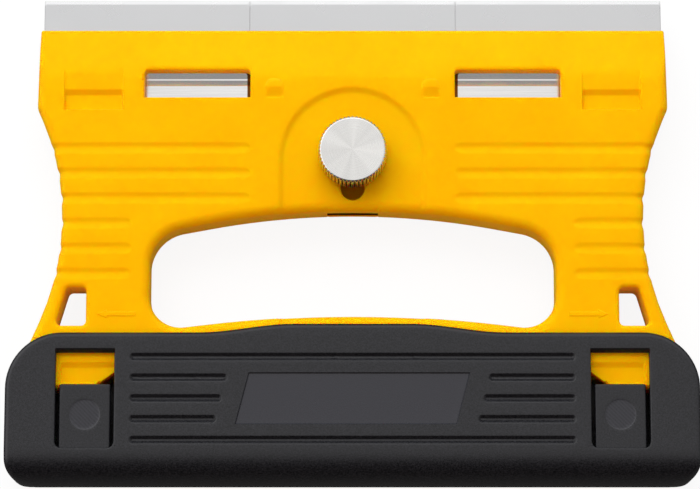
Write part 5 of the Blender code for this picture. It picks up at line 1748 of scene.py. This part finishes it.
def studio_world(s):
    """White to the camera. Its light falls off from overhead and the far side towards the near side."""
    world = bpy.data.worlds.new("Studio")
    bpy.context.scene.world = world
    world.use_nodes = True
    tree = world.node_tree
    tree.nodes.clear()
    place = add_node(tree, "ShaderNodeTexCoord").outputs["Generated"]
    axes = add_node(tree, "ShaderNodeSeparateXYZ", {"Vector": place}).outputs
    sky = s.world
    for axis, slope in SKY_SLOPES.items():
        sky = math_node(tree, "MULTIPLY_ADD", axes[axis], s.world * slope, sky)
    sky = math_node(tree, "MAXIMUM", sky, 0.0)
    mirror = remap(tree, math_node(tree, "ABSOLUTE", axes["X"]), *MIRROR_MIDDLE)
    for axis, *levels in MIRROR_RAMPS:
        mirror = math_node(tree, "MULTIPLY", mirror, remap(tree, axes[axis], *levels))
    tone = mix_colours(tree, remap(tree, axes["Y"], 0.0, 1.0, -1.0, 1.0), s.near_tint, s.far_tint)
    tone = add_node(tree, "ShaderNodeVectorMath", {0: tone, "Scale": sky}, operation="SCALE").outputs[0]
    path, seen = seen_rays(tree)
    tone = mix_colours(tree, path["Is Glossy Ray"], tone, mirror)
    tone = mix_colours(tree, seen, tone, (1.0, 1.0, 1.0))
    light = add_node(tree, "ShaderNodeBackground", {"Color": tone, "Strength": 1.0})
    output = add_node(tree, "ShaderNodeOutputWorld", {"Surface": light.outputs[0]})
    output.is_active_output = True


def photo_camera(s):
    """Long lens that looks down along +Y at the photograph's angle."""
    camera = bpy.data.cameras.new("photo_camera")
    camera.lens = s.lens
    camera.shift_x = s.shift
    camera.clip_start = 0.01
    obj = bpy.data.objects.new("photo_camera", camera)
    aim = Vector((0.0, NOSE - s.aim_setback, MIDDLE))
    obj.location = aim + s.distance * Vector((0.0, -math.cos(s.elevation), math.sin(s.elevation)))
    obj.rotation_euler = (math.pi / 2 - s.elevation, 0.0, 0.0)
    bpy.context.scene.collection.objects.link(obj)
    bpy.context.scene.camera = obj


class SCRAPER_OT_stage(Operator):
    """Builds the camera, floor, world and lamp"""

    bl_idname = "scraper.stage"
    bl_label = "Stage"

    def execute(self, context):
        settings = context.scene.scraper_stage
        photo_camera(settings)
        pale_floor(settings)
        studio_world(settings)
        add_lamp("key_lamp", settings.key, size=(1.0, 0.7), place=(-0.2, 0.62, 0.8))
        context.scene.view_settings.view_transform = "Standard"
        return {"FINISHED"}


# Add-on


class SCRAPER_PT_panel(Panel):
    """Lists the operators that build the scraper"""

    bl_idname = "SCRAPER_PT_panel"
    bl_label = "Razor Scraper"
    bl_space_type = "VIEW_3D"
    bl_region_type = "UI"
    bl_category = "Scraper"

    def draw(self, context):
        for operator in OPERATORS:
            self.layout.operator(operator.bl_idname)


GROUPS = {
    "scraper_handle": HandleSizes,
    "scraper_cover": CoverSizes,
    "scraper_metal": MetalSizes,
    "scraper_finish": Finishes,
    "scraper_stage": StageSettings,
}
OPERATORS = (
    SCRAPER_OT_shells,
    SCRAPER_OT_cover,
    SCRAPER_OT_carriage,
    SCRAPER_OT_thumb_screw,
    SCRAPER_OT_shell_screws,
    SCRAPER_OT_stage,
)


def register():
    """Registers the classes and hangs the settings on the scene."""
    for kind in (*GROUPS.values(), *OPERATORS, SCRAPER_PT_panel):
        bpy.utils.register_class(kind)
    for name, group in GROUPS.items():
        setattr(bpy.types.Scene, name, PointerProperty(type=group))


def unregister():
    """Takes the settings and the classes away again."""
    for name in GROUPS:
        delattr(bpy.types.Scene, name)
    for kind in (SCRAPER_PT_panel, *reversed(OPERATORS), *GROUPS.values()):
        bpy.utils.unregister_class(kind)


def main():
    """Builds every piece."""
    register()
    bpy.ops.scraper.shells()
    bpy.ops.scraper.cover()
    bpy.ops.scraper.carriage()
    bpy.ops.scraper.thumb_screw()
    bpy.ops.scraper.shell_screws()
    bpy.ops.scraper.stage()


if __name__ == "__main__":
    main()
